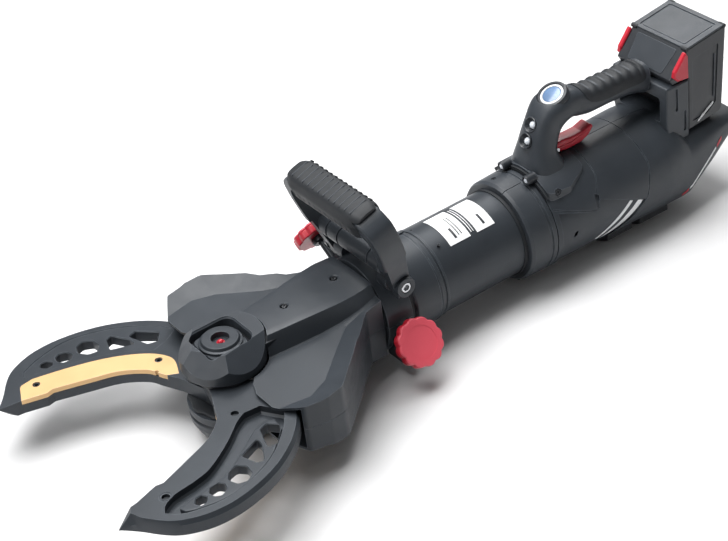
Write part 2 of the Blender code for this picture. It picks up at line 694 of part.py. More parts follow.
def build_carry_handle():
    place = handle_place()
    outer = both_sides([(0.0560, -0.013), (0.0670, -0.013), (0.0690, 0.010), (0.0790, 0.075),
                        (0.0770, 0.094), (0.0660, 0.106), (0.0560, 0.1095)])
    inner = both_sides([(0.0558, -0.02), (0.0585, 0.012), (0.0690, 0.074), (0.0665, 0.0875),
                        (0.0612, 0.0916)])
    outer_mesh = plate_mesh(outer, -HANDLE_HALF_DEPTH, HANDLE_HALF_DEPTH)
    frame = keep("carry_handle_frame", outer_mesh, "anthracite", place)
    cut(frame, as_cutter(plate_mesh(inner, -0.03, 0.03), place))
    bevel(frame, 0.0030)
    for name, side in (("far", 1), ("near", -1)):
        drill(frame, 0.0050, boss_place(side, 0.065), 16, 0.015)
        bolt = turned_mesh([(0, 0.0215), (0.0045, 0.0215), (0.0045, 0.0245), (0.0085, 0.0245),
                            (0.0085, 0.0195), (0.0041, 0.0195), (0.0041, 0.0), (0, 0.0)], 20, ring=False)
        keep(f"boss_bolt_{name}", bolt, "bright_steel", boss_place(side, 0.0500))
        socket = facing(leaned(side * 0.0450, CROSS_BAR_HEIGHT), (0, side, 0))
        drill(frame, CROSS_BAR_RADIUS + GAP, socket, 24, 0.0163)
    block = box_mesh((-0.0610, 0.0850, -0.0185), (0.0610, 0.1170, 0.0185))
    grip = keep("carry_grip", block, "black_rubber", place)
    bevel(grip, 0.0080, 3)
    bore = HANDLE_HALF_DEPTH + GAP
    cut(grip, as_cutter(box_mesh((-0.08, 0.0910, -bore), (0.08, 0.1098, bore)), place))
    waist = CROSS_BAR_RADIUS - 0.0008
    bar = turned_mesh([(waist, CROSS_BAR_LENGTH), (CROSS_BAR_RADIUS, 0.0900), (waist, 0.0895),
                       (CROSS_BAR_RADIUS, 0.0325), (waist, 0.0320), (waist, 0.0), (0.0060, 0.0),
                       (0.0060, CROSS_BAR_LENGTH)], 24)
    keep("cross_bar", bar, "dark_steel", facing(leaned(-CROSS_BAR_LENGTH / 2, CROSS_BAR_HEIGHT), (0, 1, 0)))


# ---- drive --------------------------------------------------------------------------------
def build_drive():
    """Valve block, pump, motor and board, in line behind the cylinder."""
    keep("valve_block", box_mesh((0.3725, -0.033, -0.033), (0.3980, 0.033, 0.033)), "aluminium")
    keep("pump_block", rod_mesh(PUMP_RADIUS, 0.0380, 32), "aluminium", along_x(0.3983))
    keep("oil_bladder", tube_mesh(0.0560, PUMP_RADIUS + 0.001, 0.036), "black_rubber", along_x(0.4000))
    for name, x in (("front", 0.4375), ("rear", 0.5390)):
        race = tube_mesh(BEARING_RADIUS, SHAFT_RADIUS + GAP, 0.009, 20)
        keep(f"bearing_{name}", race, "bright_steel", along_x(x))
    stator = tube_mesh(MOTOR_RADIUS, ROTOR_RADIUS + 0.002, 0.088)
    keep("motor_stator", stator, "copper_winding", along_x(0.4500))
    start, end, length = 0.014, 0.092, 0.112
    rotor = turned_mesh([(0, length), (SHAFT_RADIUS, length), (SHAFT_RADIUS, end), (ROTOR_RADIUS, end),
                         (ROTOR_RADIUS, start), (SHAFT_RADIUS, start), (SHAFT_RADIUS, 0), (0, 0)],
                        24, ring=False)
    keep("motor_rotor", rotor, "bright_steel", along_x(0.4372))
    keep("control_board", box_mesh((0.5540, -0.030, -0.004), (0.5980, 0.030, -0.001)), "green_board")


HOUSING_STATIONS = [  # x, up, down, half width, power
    (0.3960, 0.0600, 0.0600, 0.0600, 2.0), (0.4300, 0.0625, 0.0610, 0.0625, 2.0),
    (0.5000, 0.0632, 0.0610, 0.0635, 2.0), (0.5600, 0.0630, 0.0605, 0.0630, 2.2),
    (0.5830, 0.0610, 0.0590, 0.0600, 2.4), (0.6000, 0.0350, 0.0510, 0.0570, 3.0),
    (0.6400, 0.0350, 0.0230, 0.0520, 3.6), (0.6810, 0.0310, -0.0100, 0.0460, 4.0)]


def housing_solid(grow=0.0, stretch=(0.0, 0.0)):
    """The housing's outer shape, grown by a distance and made longer at its front and rear ends."""
    shifts = {HOUSING_X[0]: -stretch[0], HOUSING_X[1]: stretch[1]}
    rings = []
    for x, up, down, width, power in HOUSING_STATIONS:
        half = (up + down) / 2 + grow
        rings.append(section((x + shifts.get(x, 0), (up - down) / 2), width + grow, half, half, power, 28))
    return loft_mesh(rings)


def build_housing():
    inner = housing_solid(-HOUSING_WALL, (0.02, -HOUSING_WALL))
    for name, side in (("left", -1), ("right", 1)):
        shell = keep(f"housing_{name}", housing_solid(), "anthracite")
        cut(shell, as_cutter(inner))
        away = sorted((-side * 0.2, side * GAP / 2))
        cut(shell, as_cutter(box_mesh((0.3, away[0], -0.2), (0.8, away[1], 0.2))))
    for name, (low, high) in FEET_X.items():
        pad = box_mesh((low, -FOOT_HALF_WIDTH, -AXIS_HEIGHT), (high, FOOT_HALF_WIDTH, -0.045))
        foot = keep(f"foot_{name}", pad, "black_rubber")
        bevel(foot, 0.0015)
        cut(foot, as_cutter(housing_solid(GAP)))


# ---- rear handle --------------------------------------------------------------------------
HANDLE_PATH = [  # x, z, half width, half depth, lean of the section in degrees
    (0.4260, 0.0450, 0.0330, 0.0270, 90), (0.4220, 0.0640, 0.0290, 0.0240, 90),
    (0.4220, 0.0820, 0.0230, 0.0180, 80), (0.4320, 0.1060, 0.0200, 0.0180, 66),
    (0.4480, 0.1210, 0.0230, 0.0200, 44), (0.4700, 0.1190, 0.0180, 0.0190, 10),
    (0.4900, 0.1130, GRIP_HALF_WIDTH, 0.0160, 0), (0.5200, 0.1120, GRIP_HALF_WIDTH, 0.0155, -2),
    (0.5500, 0.1100, GRIP_HALF_WIDTH, 0.0160, -5), (0.5730, 0.1060, 0.0190, 0.0180, -8)]


def handle_solid(grow=0.0):
    return loft_mesh([section((x, z), width + grow, depth + grow, depth + grow, 2.6, 16, math.radians(lean))
                      for x, z, width, depth, lean in HANDLE_PATH])


def build_rear_handle():
    """Saddle, leg and grip in one moulding, with the sockets for trigger, button and lamps."""
    frame = keep("rear_handle", handle_solid(), "anthracite")
    shell = loft_mesh([section((x, 0), r, r, r, 2.0, 28)
                       for x, r in ((0.3975, 0.0660), (0.4020, 0.0680), (0.4560, 0.0670))])
    saddle = as_cutter(shell)
    combine(saddle, as_cutter(box_mesh((0.38, -0.046, 0.030), (0.48, 0.046, 0.080))), "INTERSECT")
    combine(frame, saddle, "UNION")
    cut(frame, as_cutter(housing_solid(GAP, (0.01, 0.01))))
    cut(frame, as_cutter(box_mesh((0.4340, -0.0100, 0.0640), (0.4600, 0.0100, 0.0900))))
    build_trigger(frame)
    build_soft_grip()
    seat = facing(BUTTON_SEAT, BUTTON_AXIS)
    drill(frame, 0.0153, seat @ Matrix.Translation((0, 0, 0.0150)), 28, 0.015)
    bezel = tube_mesh(0.0150, 0.0110, 0.0097, 28)
    keep("display_bezel", bezel, "white_label", seat @ Matrix.Translation((0, 0, GAP)))
    button = rod_mesh(0.0106, 0.0065, 28)
    keep("power_button", button, "blue_display", seat @ Matrix.Translation((0, 0, 0.0030)))
    build_lamps(frame)


def build_trigger(frame):
    """A lever on a cross pin under the grip."""
    hole, half_length = TRIGGER_PIN_RADIUS + 0.0004, 0.0140
    place = facing(TRIGGER_PIVOT, (0, 1, 0))
    drill(frame, hole, place, 12, half_length)
    pin = rod_mesh(TRIGGER_PIN_RADIUS, 2 * half_length - GAP, 12)
    keep("trigger_pin", pin, "bright_steel", place @ Matrix.Translation((0, 0, -half_length)))
    lever = [(0.4365, 0.0700), (0.4400, 0.0800), (0.4560, 0.0850), (0.4760, 0.0830), (0.4940, 0.0860),
             (0.4980, 0.0810), (0.4890, 0.0700), (0.4760, 0.0655), (0.4560, 0.0655)]
    trigger = keep("trigger", side_mesh(lever, 0.0090), "red_plastic")
    bevel(trigger, 0.0015)
    drill(trigger, hole, place, 12, half_length)


def build_soft_grip():
    """The rubber cover over the top and sides of the grip."""
    path = ((0.4880, 0.1170, 2), (0.5200, 0.1150, -2), (0.5620, 0.1110, -6))
    half_width, half_depth = 0.0190, 0.0170
    rings = [section((x, z), half_width, half_depth, half_depth, 2.4, 16, math.radians(lean))
             for x, z, lean in path]
    grip = keep("soft_grip", loft_mesh(rings), "black_rubber")
    cut(grip, as_cutter(handle_solid(GAP)))
    cut(grip, as_cutter(box_mesh((0.40, -0.1, 0.0), (0.60, 0.1, 0.1050))))


def build_lamps(frame):
    """Two lamps in the handle's leg, and the sockets of two more above the collar."""
    for name, centre in (("upper", (0.4152, 0, 0.1125)), ("lower", (0.4065, 0, 0.0960))):
        seat = facing(Vector(centre) - LAMP_AXIS * 0.0060, LAMP_AXIS)
        drill(frame, 0.0067, seat @ Matrix.Translation((0, 0, 0.0150)), 20, 0.015)
        lens = rod_mesh(0.0062, 0.0055, 20, 0.0050)
        keep(f"spot_lamp_{name}", lens, "lamp_lens", seat @ Matrix.Translation((0, 0, GAP)))
    for side in (1, -1):
        drill(frame, 0.0052, facing((0.3870, side * 0.0200, 0.0615), (-1, 0, 0)), 16, 0.015)


# ---- battery ------------------------------------------------------------------------------
def build_battery():
    face = [(0.5735, 0.1040), (0.5735, 0.0560), (0.5780, 0.0300), (0.6076, 0.0300), (0.6076, 0.1040)]
    dock = keep("battery_dock", side_mesh(face, 0.0440), "anthracite")
    bevel(dock, 0.0030, 2)
    cut(dock, as_cutter(housing_solid(4 * GAP)))
    rail = [(0.6079, 0.0450), (0.6150, 0.0450), (0.6150, 0.0950), (0.6079, 0.0950)]
    keep("contact_rail", side_mesh(rail, 0.0190), "black_plastic")
    body = [(0.6082, BATTERY_FLOOR), (0.6560, 0.0400), (0.6600, 0.0440), (0.6660, 0.1440), (0.6630, 0.1480),
            (0.6060, 0.1410), (0.5800, 0.1120), (0.5840, 0.1046), (0.6082, 0.1046)]
    pack = keep("battery_pack", side_mesh(body, BATTERY_HALF_WIDTH), "black_plastic")
    bevel(pack, 0.0020)
    cut(pack, as_cutter(box_mesh((0.60, -0.0200, 0.02), (0.6160, 0.0200, 0.0960))))
    build_latches(pack)


def build_latches(pack):
    """A push latch in a pocket on each side of the pack."""
    latch = [(0.5990, 0.1300), (0.6040, 0.1330), (0.6052, 0.1065), (0.5895, 0.1085), (0.5845, 0.1140),
             (0.5860, 0.1190)]
    floor = 0.0365
    for name, side in (("left", -1), ("right", 1)):
        cut(pack, as_cutter(side_mesh(grown(latch, 2 * GAP), 0.01175, side * (floor + 0.01175))))
        middle = side * (floor + 0.0040 + LATCH_HALF_THICK)
        keep(f"battery_latch_{name}", side_mesh(latch, LATCH_HALF_THICK, middle), "red_plastic")


clear_scene()
PARTS = new_collection("rescue_cutter")
CUTTERS = new_collection("cutters")
TOOL_AXIS = bpy.data.objects.new("tool_axis", None)
TOOL_AXIS.location = (0, 0, AXIS_HEIGHT)
PARTS.objects.link(TOOL_AXIS)

for blade_name, blade_side in (("far", 1), ("near", -1)):
    build_blade(blade_name)
    build_insert(blade_name)
    build_link(blade_name, blade_side)
    build_knob(blade_name, blade_side)
build_crosshead()
build_yoke()
build_pivot()
build_nose_covers()
build_guard("upper", 1)
build_guard("lower", -1)
build_ram()
build_cylinder()
build_clamp()
build_carry_handle()
build_drive()
build_housing()
build_rear_handle()
build_battery()
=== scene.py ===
"""The looks of a battery-driven hydraulic rescue cutter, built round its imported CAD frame.

Every piece is described in millimetres, with the tool axis at height 0. The shaping tools turn
millimetres into metres, and show() lifts the piece by AXIS, the height of the tool axis in the
frame. The far blade's side is +Y and the near blade's is -Y.
"""

import json
from math import copysign, cos, dist, pi, radians, sin, tan

import bmesh
import bpy
from mathutils import Matrix, Vector

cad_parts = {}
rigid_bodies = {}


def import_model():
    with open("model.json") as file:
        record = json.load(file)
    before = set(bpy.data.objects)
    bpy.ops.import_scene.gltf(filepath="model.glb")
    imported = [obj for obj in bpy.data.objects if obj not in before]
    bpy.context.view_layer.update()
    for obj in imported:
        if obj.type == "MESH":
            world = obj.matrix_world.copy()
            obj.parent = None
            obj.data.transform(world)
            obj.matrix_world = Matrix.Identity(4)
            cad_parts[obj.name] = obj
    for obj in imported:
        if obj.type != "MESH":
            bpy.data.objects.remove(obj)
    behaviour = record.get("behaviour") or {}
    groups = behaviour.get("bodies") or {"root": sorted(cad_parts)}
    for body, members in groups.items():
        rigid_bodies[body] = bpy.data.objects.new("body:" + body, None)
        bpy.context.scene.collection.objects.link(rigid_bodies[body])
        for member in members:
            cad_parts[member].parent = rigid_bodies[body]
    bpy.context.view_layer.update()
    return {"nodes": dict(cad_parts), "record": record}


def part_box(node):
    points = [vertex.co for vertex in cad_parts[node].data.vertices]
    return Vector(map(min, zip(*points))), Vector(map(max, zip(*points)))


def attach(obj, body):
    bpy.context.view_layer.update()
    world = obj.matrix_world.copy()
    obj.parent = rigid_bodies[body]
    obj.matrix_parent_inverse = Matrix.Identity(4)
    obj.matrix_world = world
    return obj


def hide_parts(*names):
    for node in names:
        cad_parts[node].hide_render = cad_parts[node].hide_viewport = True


for old in list(bpy.data.objects):
    bpy.data.objects.remove(old, do_unlink=True)

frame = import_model()
NODES = frame["nodes"]
TUBE_LOW, TUBE_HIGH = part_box("cylinder_tube")
AXIS = (TUBE_LOW.z + TUBE_HIGH.z) / 2
METRE = 1000  # millimetres
SIDES = (("far", 1), ("near", -1))
TUBE_RADIUS = (TUBE_HIGH.z - TUBE_LOW.z) / 2 * METRE


# ---- materials ----
EDGE_RADIUS = 0.0011
GRAIN_DEPTH = 0.0002
COAT_ROUGHNESS = 0.12


def node_of(tree, kind, inputs=(), **settings):
    """A new node with its settings, and with each input given a value or linked to a socket."""
    made = tree.nodes.new(kind)
    for name, value in settings.items():
        setattr(made, name, value)
    for name, value in dict(inputs).items():
        if isinstance(value, bpy.types.NodeSocket):
            tree.links.new(value, made.inputs[name])
        else:
            made.inputs[name].default_value = value
    return made


def ranged(tree, value, low, high, out_low, out_high):
    """The value carried from one range to another."""
    sockets = {"Value": value, "From Min": low, "From Max": high, "To Min": out_low, "To Max": out_high}
    return node_of(tree, "ShaderNodeMapRange", sockets).outputs["Result"]


def mixed(tree, share, first, second):
    """The first colour blended into the second by share."""
    sockets = {"Factor": share, "A": first, "B": second}
    return node_of(tree, "ShaderNodeMix", sockets, data_type="RGBA").outputs["Result"]


def noise(tree, where, scale, detail=3.0, rough=0.55):
    """A noise between 0 and 1."""
    sockets = {"Vector": where, "Scale": scale, "Detail": detail, "Roughness": rough}
    return node_of(tree, "ShaderNodeTexNoise", sockets).outputs["Fac"]


def lit_and_worn_edges(tree, where, amount):
    """The amount of lightening along sharp edges, broken up by noise, and 0 elsewhere: partly real wear,
    partly a painted highlight on lit edges.
    """
    soft = node_of(tree, "ShaderNodeBevel", {"Radius": EDGE_RADIUS}, samples=4)
    hard = node_of(tree, "ShaderNodeNewGeometry")
    normals = {0: soft.outputs["Normal"], 1: hard.outputs["Normal"]}
    dot = node_of(tree, "ShaderNodeVectorMath", normals, operation="DOT_PRODUCT")
    edge = ranged(tree, dot.outputs["Value"], 0.995, 0.86, 0.0, amount)
    patch = ranged(tree, noise(tree, where, 90.0, 4.0), 0.42, 0.62, 0.35, 1.0)
    return node_of(tree, "ShaderNodeMath", {0: edge, 1: patch}, operation="MULTIPLY").outputs["Value"]


def finish(name, colour, roughness, metallic=0.0, vary=0.15, grain=0.0, grain_size=1600.0, mottle=0.12,
        edge_light_and_wear=0.0, edge_light_and_wear_colour=(0.35, 0.36, 0.38), coat=0.0, stretch=None, specular=0.5):
    """A moulded, coated or machined surface: mottled colour, uneven gloss, fine grain, and edges lightened
    partly as wear and partly as painted highlight.
    """
    made = bpy.data.materials.new(name)
    made.use_nodes = True
    tree = made.node_tree
    shader = tree.nodes["Principled BSDF"]
    place = node_of(tree, "ShaderNodeTexCoord").outputs["Object"]
    along = place
    if stretch:
        along = node_of(tree, "ShaderNodeMapping", {"Vector": place, "Scale": stretch}).outputs["Vector"]
    shader.inputs["Metallic"].default_value = metallic
    shader.inputs["Specular IOR Level"].default_value = specular
    shader.inputs["Coat Weight"].default_value = coat
    shader.inputs["Coat Roughness"].default_value = COAT_ROUGHNESS
    dark = (*(c * (1 - mottle) for c in colour), 1.0)
    light = (*(min(1.0, c * (1 + mottle)) for c in colour), 1.0)
    tone = mixed(tree, ranged(tree, noise(tree, place, 14.0, 4.0), 0.3, 0.7, 0.0, 1.0), dark, light)
    gloss = noise(tree, along, 55.0, 5.0, 0.6)
    rough = ranged(tree, gloss, 0.25, 0.75, roughness - vary / 2, roughness + vary / 2)
    # Lighter colour along sharp edges: partly real wear, partly a painted highlight standing for lit edges.
    if edge_light_and_wear:
        tone = mixed(tree, lit_and_worn_edges(tree, place, edge_light_and_wear), tone, (*edge_light_and_wear_colour, 1.0))
    tree.links.new(tone, shader.inputs["Base Color"])
    tree.links.new(rough, shader.inputs["Roughness"])
    if grain:
        height = noise(tree, along, grain_size, 2.0, 0.5)
        bump = node_of(tree, "ShaderNodeBump", {"Strength": grain, "Distance": GRAIN_DEPTH, "Height": height})
        tree.links.new(bump.outputs["Normal"], shader.inputs["Normal"])
    return made


# The edge colours below lighten sharp edges: partly real wear, partly a painted highlight on lit edges.
LOOK_TABLE = {  # colour, roughness, metallic, and what differs from the usual finish
    "coated_steel": ((0.036, 0.042, 0.05), 0.4, 0.2,
        {"grain": 0.35, "edge_light_and_wear": 0.8, "edge_light_and_wear_colour": (0.17, 0.19, 0.215), "specular": 0.36}),
    "dark_steel": ((0.03, 0.033, 0.038), 0.36, 0.6, {"grain": 0.15, "edge_light_and_wear": 0.5}),
    "bright_steel": ((0.56, 0.57, 0.59), 0.26, 1.0, {"grain": 0.1, "mottle": 0.06}),
    "blade_insert": ((0.72, 0.46, 0.22), 0.42, 0.25,
        {"grain": 0.1, "mottle": 0.05, "edge_light_and_wear": 0.5, "edge_light_and_wear_colour": (0.95, 0.85, 0.7)}),
    "anthracite": ((0.034, 0.04, 0.048), 0.42, 0.0,
        {"grain": 0.3, "edge_light_and_wear": 0.8, "edge_light_and_wear_colour": (0.15, 0.17, 0.195), "specular": 0.36}),
    "black_plastic": ((0.018, 0.021, 0.026), 0.4, 0.0,
        {"grain": 0.25, "edge_light_and_wear": 0.6, "edge_light_and_wear_colour": (0.09, 0.1, 0.115)}),
    "black_rubber": ((0.012, 0.0145, 0.018), 0.62, 0.0, {"grain": 0.5, "grain_size": 900.0}),
    "red_plastic": ((0.5, 0.016, 0.034), 0.36, 0.0, {"grain": 0.15, "mottle": 0.08}),
    # A lighter red painted on the knob faces as their highlight where they face the light; the knob's own
    # colour is the red plastic.
    "highlit_knob_face": ((0.72, 0.09, 0.125), 0.4, 0.0, {"grain": 0.15, "mottle": 0.06}),
    # A paler copy of the black rubber, painted on the grip's ribs as the highlight on their crests.
    "rib_highlight_rubber": ((0.06, 0.068, 0.078), 0.55, 0.0, {"grain": 0.4, "grain_size": 900.0}),
    "white_label": ((0.85, 0.86, 0.87), 0.42, 0.0, {"mottle": 0.03}),
    "lamp_lens": ((0.8, 0.84, 0.9), 0.08, 0.0, {"mottle": 0.05, "coat": 1.0}),
    "blue_display": ((0.13, 0.22, 0.38), 0.25, 0.0, {"mottle": 0.45, "coat": 0.6}),
    "aluminium": ((0.6, 0.61, 0.62), 0.34, 1.0, {"stretch": (1.0, 20.0, 20.0)}),
    "copper_winding": ((0.65, 0.3, 0.12), 0.35, 0.9, {"grain": 0.5, "grain_size": 400.0}),
    "green_board": ((0.03, 0.22, 0.08), 0.4, 0.0, {"mottle": 0.2}),
}
LOOKS = {name: finish(name, *basics, **rest) for name, (*basics, rest) in LOOK_TABLE.items()}

SLOT_OF = {row["node"]: row["material_slot"] for row in frame["record"]["subparts"]}
for node, piece in NODES.items():
    piece.data.materials.clear()
    piece.data.materials.append(LOOKS[SLOT_OF[node]])


# ---- shaping tools ----
SAME_POINT = 2e-06  # metres between points that welded() joins
SLIVER = 1e-06  # metres of the shortest edge that boolean() leaves


def holder_of(data):
    """An object in the scene that holds a mesh or a curve."""
    holder = bpy.data.objects.new("shape", data)
    bpy.context.scene.collection.objects.link(holder)
    return holder


def evaluated(*holders):
    """The first holder's mesh with its modifiers applied; all the holders are then removed."""
    bpy.context.view_layer.update()
    graph = bpy.context.evaluated_depsgraph_get()
    mesh = bpy.data.meshes.new_from_object(holders[0].evaluated_get(graph))
    for holder in holders:
        bpy.data.objects.remove(holder, do_unlink=True)
    return mesh


def mesh_of(work, name):
    """A mesh made from a bmesh, which is then freed."""
    mesh = bpy.data.meshes.new(name)
    work.to_mesh(mesh)
    work.free()
    return mesh


def welded(mesh, lift=0.0):
    """The mesh with its double points joined, lifted, and with its faces turned outwards."""
    work = bmesh.new()
    work.from_mesh(mesh)
    bmesh.ops.remove_doubles(work, verts=work.verts, dist=SAME_POINT)
    bmesh.ops.translate(work, vec=(0, 0, lift), verts=work.verts)
    bmesh.ops.recalc_face_normals(work, faces=work.faces)
    work.to_mesh(mesh)
    work.free()
    return mesh


def area_of(outline):
    """The area inside an outline, negative if it runs clockwise."""
    return sum(a[0] * b[1] - b[0] * a[1] for a, b in zip(outline, outline[1:] + outline[:1])) / 2


def plate(outline, low, high, edge=0.0, holes=(), steps=2):
    """An outline in XY filled from low to high, with holes and rounded edges (chamfered if steps is 0)."""
    curve = bpy.data.curves.new("outline", "CURVE")
    curve.dimensions = "2D"
    curve.fill_mode = "BOTH"
    curve.extrude = ((high - low) / 2 - edge) / METRE
    curve.bevel_depth = edge / METRE
    curve.bevel_resolution = steps
    curve.offset = -edge / METRE
    for loop, way in ((outline, 1), *((hole, -1) for hole in holes)):
        points = loop if area_of(loop) * way > 0 else loop[::-1]
        line = curve.splines.new("POLY")
        line.points.add(len(points) - 1)
        for point, (x, y) in zip(line.points, points):
            point.co = (x / METRE, y / METRE, 0.0, 1.0)
        line.use_cyclic_u = True
    return welded(evaluated(holder_of(curve)), (low + high) / 2 / METRE)


def turned(profile, steps=64):
    """The solid swept round local Z by a profile of (radius, height), closed unless it ends on the axis."""
    work = bmesh.new()
    spots = [work.verts.new((radius / METRE, 0.0, height / METRE)) for radius, height in profile]
    closing = [] if max(profile[0][0], profile[-1][0]) < 1e-9 else spots[:1]
    for a, b in zip(spots, spots[1:] + closing):
        work.edges.new((a, b))
    bmesh.ops.spin(work, geom=work.verts[:] + work.edges[:], cent=(0, 0, 0), axis=(0, 0, 1), angle=2 * pi,
        steps=steps)
    return welded(mesh_of(work, "turned"))


def skin(rings):
    """A skin over rings of equally many points, closed at both ends."""
    work = bmesh.new()
    loops = [[work.verts.new([c / METRE for c in point]) for point in ring] for ring in rings]
    for near, far in zip(loops, loops[1:]):
        for i, corner in enumerate(near):
            j = (i + 1) % len(near)
            work.faces.new((corner, near[j], far[j], far[i]))
    work.faces.new(list(reversed(loops[0])))
    work.faces.new(loops[-1])
    return welded(mesh_of(work, "skin"))


def block(low, high, edge=0.0, steps=2):
    """A box between two corners with rounded edges."""
    work = bmesh.new()
    bmesh.ops.create_cube(work, size=1.0)
    bmesh.ops.scale(work, vec=[(b - a) / METRE for a, b in zip(low, high)], verts=work.verts)
    bmesh.ops.translate(work, vec=[(a + b) / 2 / METRE for a, b in zip(low, high)], verts=work.verts)
    if edge:
        bmesh.ops.bevel(work, geom=work.edges[:], offset=edge / METRE, segments=steps, profile=0.5,
            affect="EDGES")
    return mesh_of(work, "block")


def moved(mesh, place):
    mesh.transform(place)
    if place.determinant() < 0:
        mesh.flip_normals()
    return mesh


def boolean(operation, mesh, *others):
    """The mesh cut by, joined with or limited to each of the others in turn, without slivers."""
    holders = [holder_of(mesh)]
    for other in others:
        holders.append(holder_of(other))
        step = holders[0].modifiers.new("step", "BOOLEAN")
        step.operation = operation
        step.solver = "EXACT"
        step.object = holders[-1]
    mesh = evaluated(*holders)
    work = bmesh.new()
    work.from_mesh(mesh)
    bmesh.ops.remove_doubles(work, verts=work.verts, dist=SLIVER)
    bmesh.ops.dissolve_degenerate(work, edges=work.edges, dist=SLIVER)
    work.to_mesh(mesh)
    work.free()
    return mesh


def carved(mesh, *others):
    return boolean("DIFFERENCE", mesh, *others)


def fused(mesh, *others):
    return boolean("UNION", mesh, *others)


def common(mesh, *others):
    return boolean("INTERSECT", mesh, *others)


def bevelled(mesh, width, segments=2, angle=30):
    holder = holder_of(mesh)
    step = holder.modifiers.new("edges", "BEVEL")
    step.width = width / METRE
    step.segments = segments
    step.limit_method = "ANGLE"
    step.angle_limit = radians(angle)
    step.use_clamp_overlap = True
    return evaluated(holder)


def together(*meshes):
    """Separate closed bodies in one mesh."""
    work = bmesh.new()
    for mesh in meshes:
        work.from_mesh(mesh)
    return mesh_of(work, "group")


def arc(centre, radius, start, stop, count):
    """Points on an arc, angles in degrees, both ends included."""
    angles = [radians(start + (stop - start) * i / (count - 1)) for i in range(count)]
    return [(centre[0] + radius * cos(a), centre[1] + radius * sin(a)) for a in angles]


def smooth(points, per_span=4):
    """A Catmull-Rom line through the points, ends kept."""
    line = []
    padded = [points[0], *points, points[-1]]
    for a, b, c, d in zip(padded, padded[1:], padded[2:], padded[3:]):
        for i in range(per_span):
            t = i / per_span
            line.append(tuple(0.5 * (2 * q + (r - p) * t + (2 * p - 5 * q + 4 * r - s) * t**2
                + (3 * q - p - 3 * r + s) * t**3) for p, q, r, s in zip(a, b, c, d)))
    return [*line, tuple(points[-1])]


def rounded(points, radius, steps=4, closed=True):
    """The outline with each corner rounded; radius is one number, or one for each corner."""
    count = len(points)
    radii = radius if isinstance(radius, (list, tuple)) else [radius] * count
    line = []
    for i, (point, wanted) in enumerate(zip(points, radii)):
        if not wanted or (not closed and i in (0, count - 1)):
            line.append(tuple(point))
            continue
        here = Vector(point)
        back = Vector(points[i - 1]) - here
        ahead = Vector(points[(i + 1) % count]) - here
        turn = back.angle(ahead)
        if turn > pi - 0.25:
            line.append(tuple(point))
            continue
        reach = min(wanted / tan(turn / 2), 0.49 * back.length, 0.49 * ahead.length)
        first = here + back.normalized() * reach
        last = here + ahead.normalized() * reach
        for k in range(steps + 1):
            t = k / steps
            line.append(tuple(first * (1 - t) ** 2 + here * (2 * t * (1 - t)) + last * t**2))
    return line


def resampled(points, count):
    """The polyline with count points evenly along it."""
    lengths = [0.0]
    for a, b in zip(points, points[1:]):
        lengths.append(lengths[-1] + dist(a, b))
    line = []
    for k in range(count):
        want = lengths[-1] * (k / (count - 1))
        i = max(j for j in range(len(points) - 1) if lengths[j] <= want + 1e-12)
        t = (want - lengths[i]) / max(1e-12, lengths[i + 1] - lengths[i])
        line.append(tuple(a + (b - a) * min(1.0, t) for a, b in zip(points[i], points[i + 1])))
    return line


def grown(outline, distance):
    """The outline moved outwards (or inwards, if negative) about its own edges."""
    sign = copysign(1, area_of(outline))
    line = []
    for a, b, c in zip(outline[-1:] + outline[:-1], outline, outline[1:] + outline[:1]):
        first = Vector((b[1] - a[1], a[0] - b[0])).normalized()
        second = Vector((c[1] - b[1], b[0] - c[0])).normalized()
        way = (first + second).normalized()
        step = sign * distance / max(0.5, way.dot(first))
        line.append((b[0] + way.x * step, b[1] + way.y * step))
    return line


def at(x, y, z):
    return Matrix.Translation((x / METRE, y / METRE, z / METRE))


def hexagon(radius):
    return arc((0, 0), radius, 0, 300, 6)


def pane(left, bottom, right, top, radius, steps):
    """A rectangle with rounded corners."""
    return rounded([(left, bottom), (right, bottom), (right, top), (left, top)], radius, steps)


def lobed(radius, count):
    """A closed outline of count points whose radius depends on the number of the point."""
    return [(radius(i) * cos(2 * pi * i / count), radius(i) * sin(2 * pi * i / count)) for i in range(count)]


def framed(origin, x_axis, y_axis):
    """The place of a shape whose local X and Y run along two axes."""
    return at(*origin) @ Matrix((x_axis, y_axis, x_axis.cross(y_axis))).transposed().to_4x4()


def facing(origin, direction):
    """The place of a shape whose local Z points along direction."""
    return at(*origin) @ Vector(direction).normalized().to_track_quat("Z", "Y").to_matrix().to_4x4()


def along_x(x):
    """The place of a turned shape whose local Z runs along +X from x."""
    return at(x, 0, 0) @ Matrix.Rotation(pi / 2, 4, "Y")


def rod(radius, low, high, edge=0.0, steps=32):
    """A cylinder on local Z with rounded ends."""
    if not edge:
        return turned([(0, high), (radius, high), (radius, low), (0, low)], steps)
    corner = [(radius, high), (radius, low)]
    line = [(0, high), *rounded([(0, high), *corner, (0, low)], edge, 3, closed=False)[1:-1], (0, low)]
    return turned(line, steps)


def side_plate(outline, half_width, edge=0.0, middle=0.0, steps=2):
    """A plate whose outline is in XZ, centred on Y = middle."""
    flat = plate([(x, -z) for x, z in outline], -half_width, half_width, edge, steps=steps)
    return moved(flat, at(0, middle, 0) @ Matrix.Rotation(radians(-90), 4, "X"))


def show(name, mesh, slot, *replaced, body="tool_body", look=None, angle=32):
    """A finished piece: lifted to the tool axis, shaded, given its material, and hung on its body."""
    piece = holder_of(mesh)
    piece.name = name
    mesh.name = name
    mesh.transform(Matrix.Translation((0, 0, AXIS)))
    mesh.materials.clear()
    mesh.materials.append(LOOKS[look or slot])
    mesh.shade_smooth()
    mesh.set_sharp_from_angle(angle=radians(angle))
    even = piece.modifiers.new("even", "WEIGHTED_NORMAL")
    even.keep_sharp = True
    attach(piece, body)
    if replaced:
        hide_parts(*replaced)


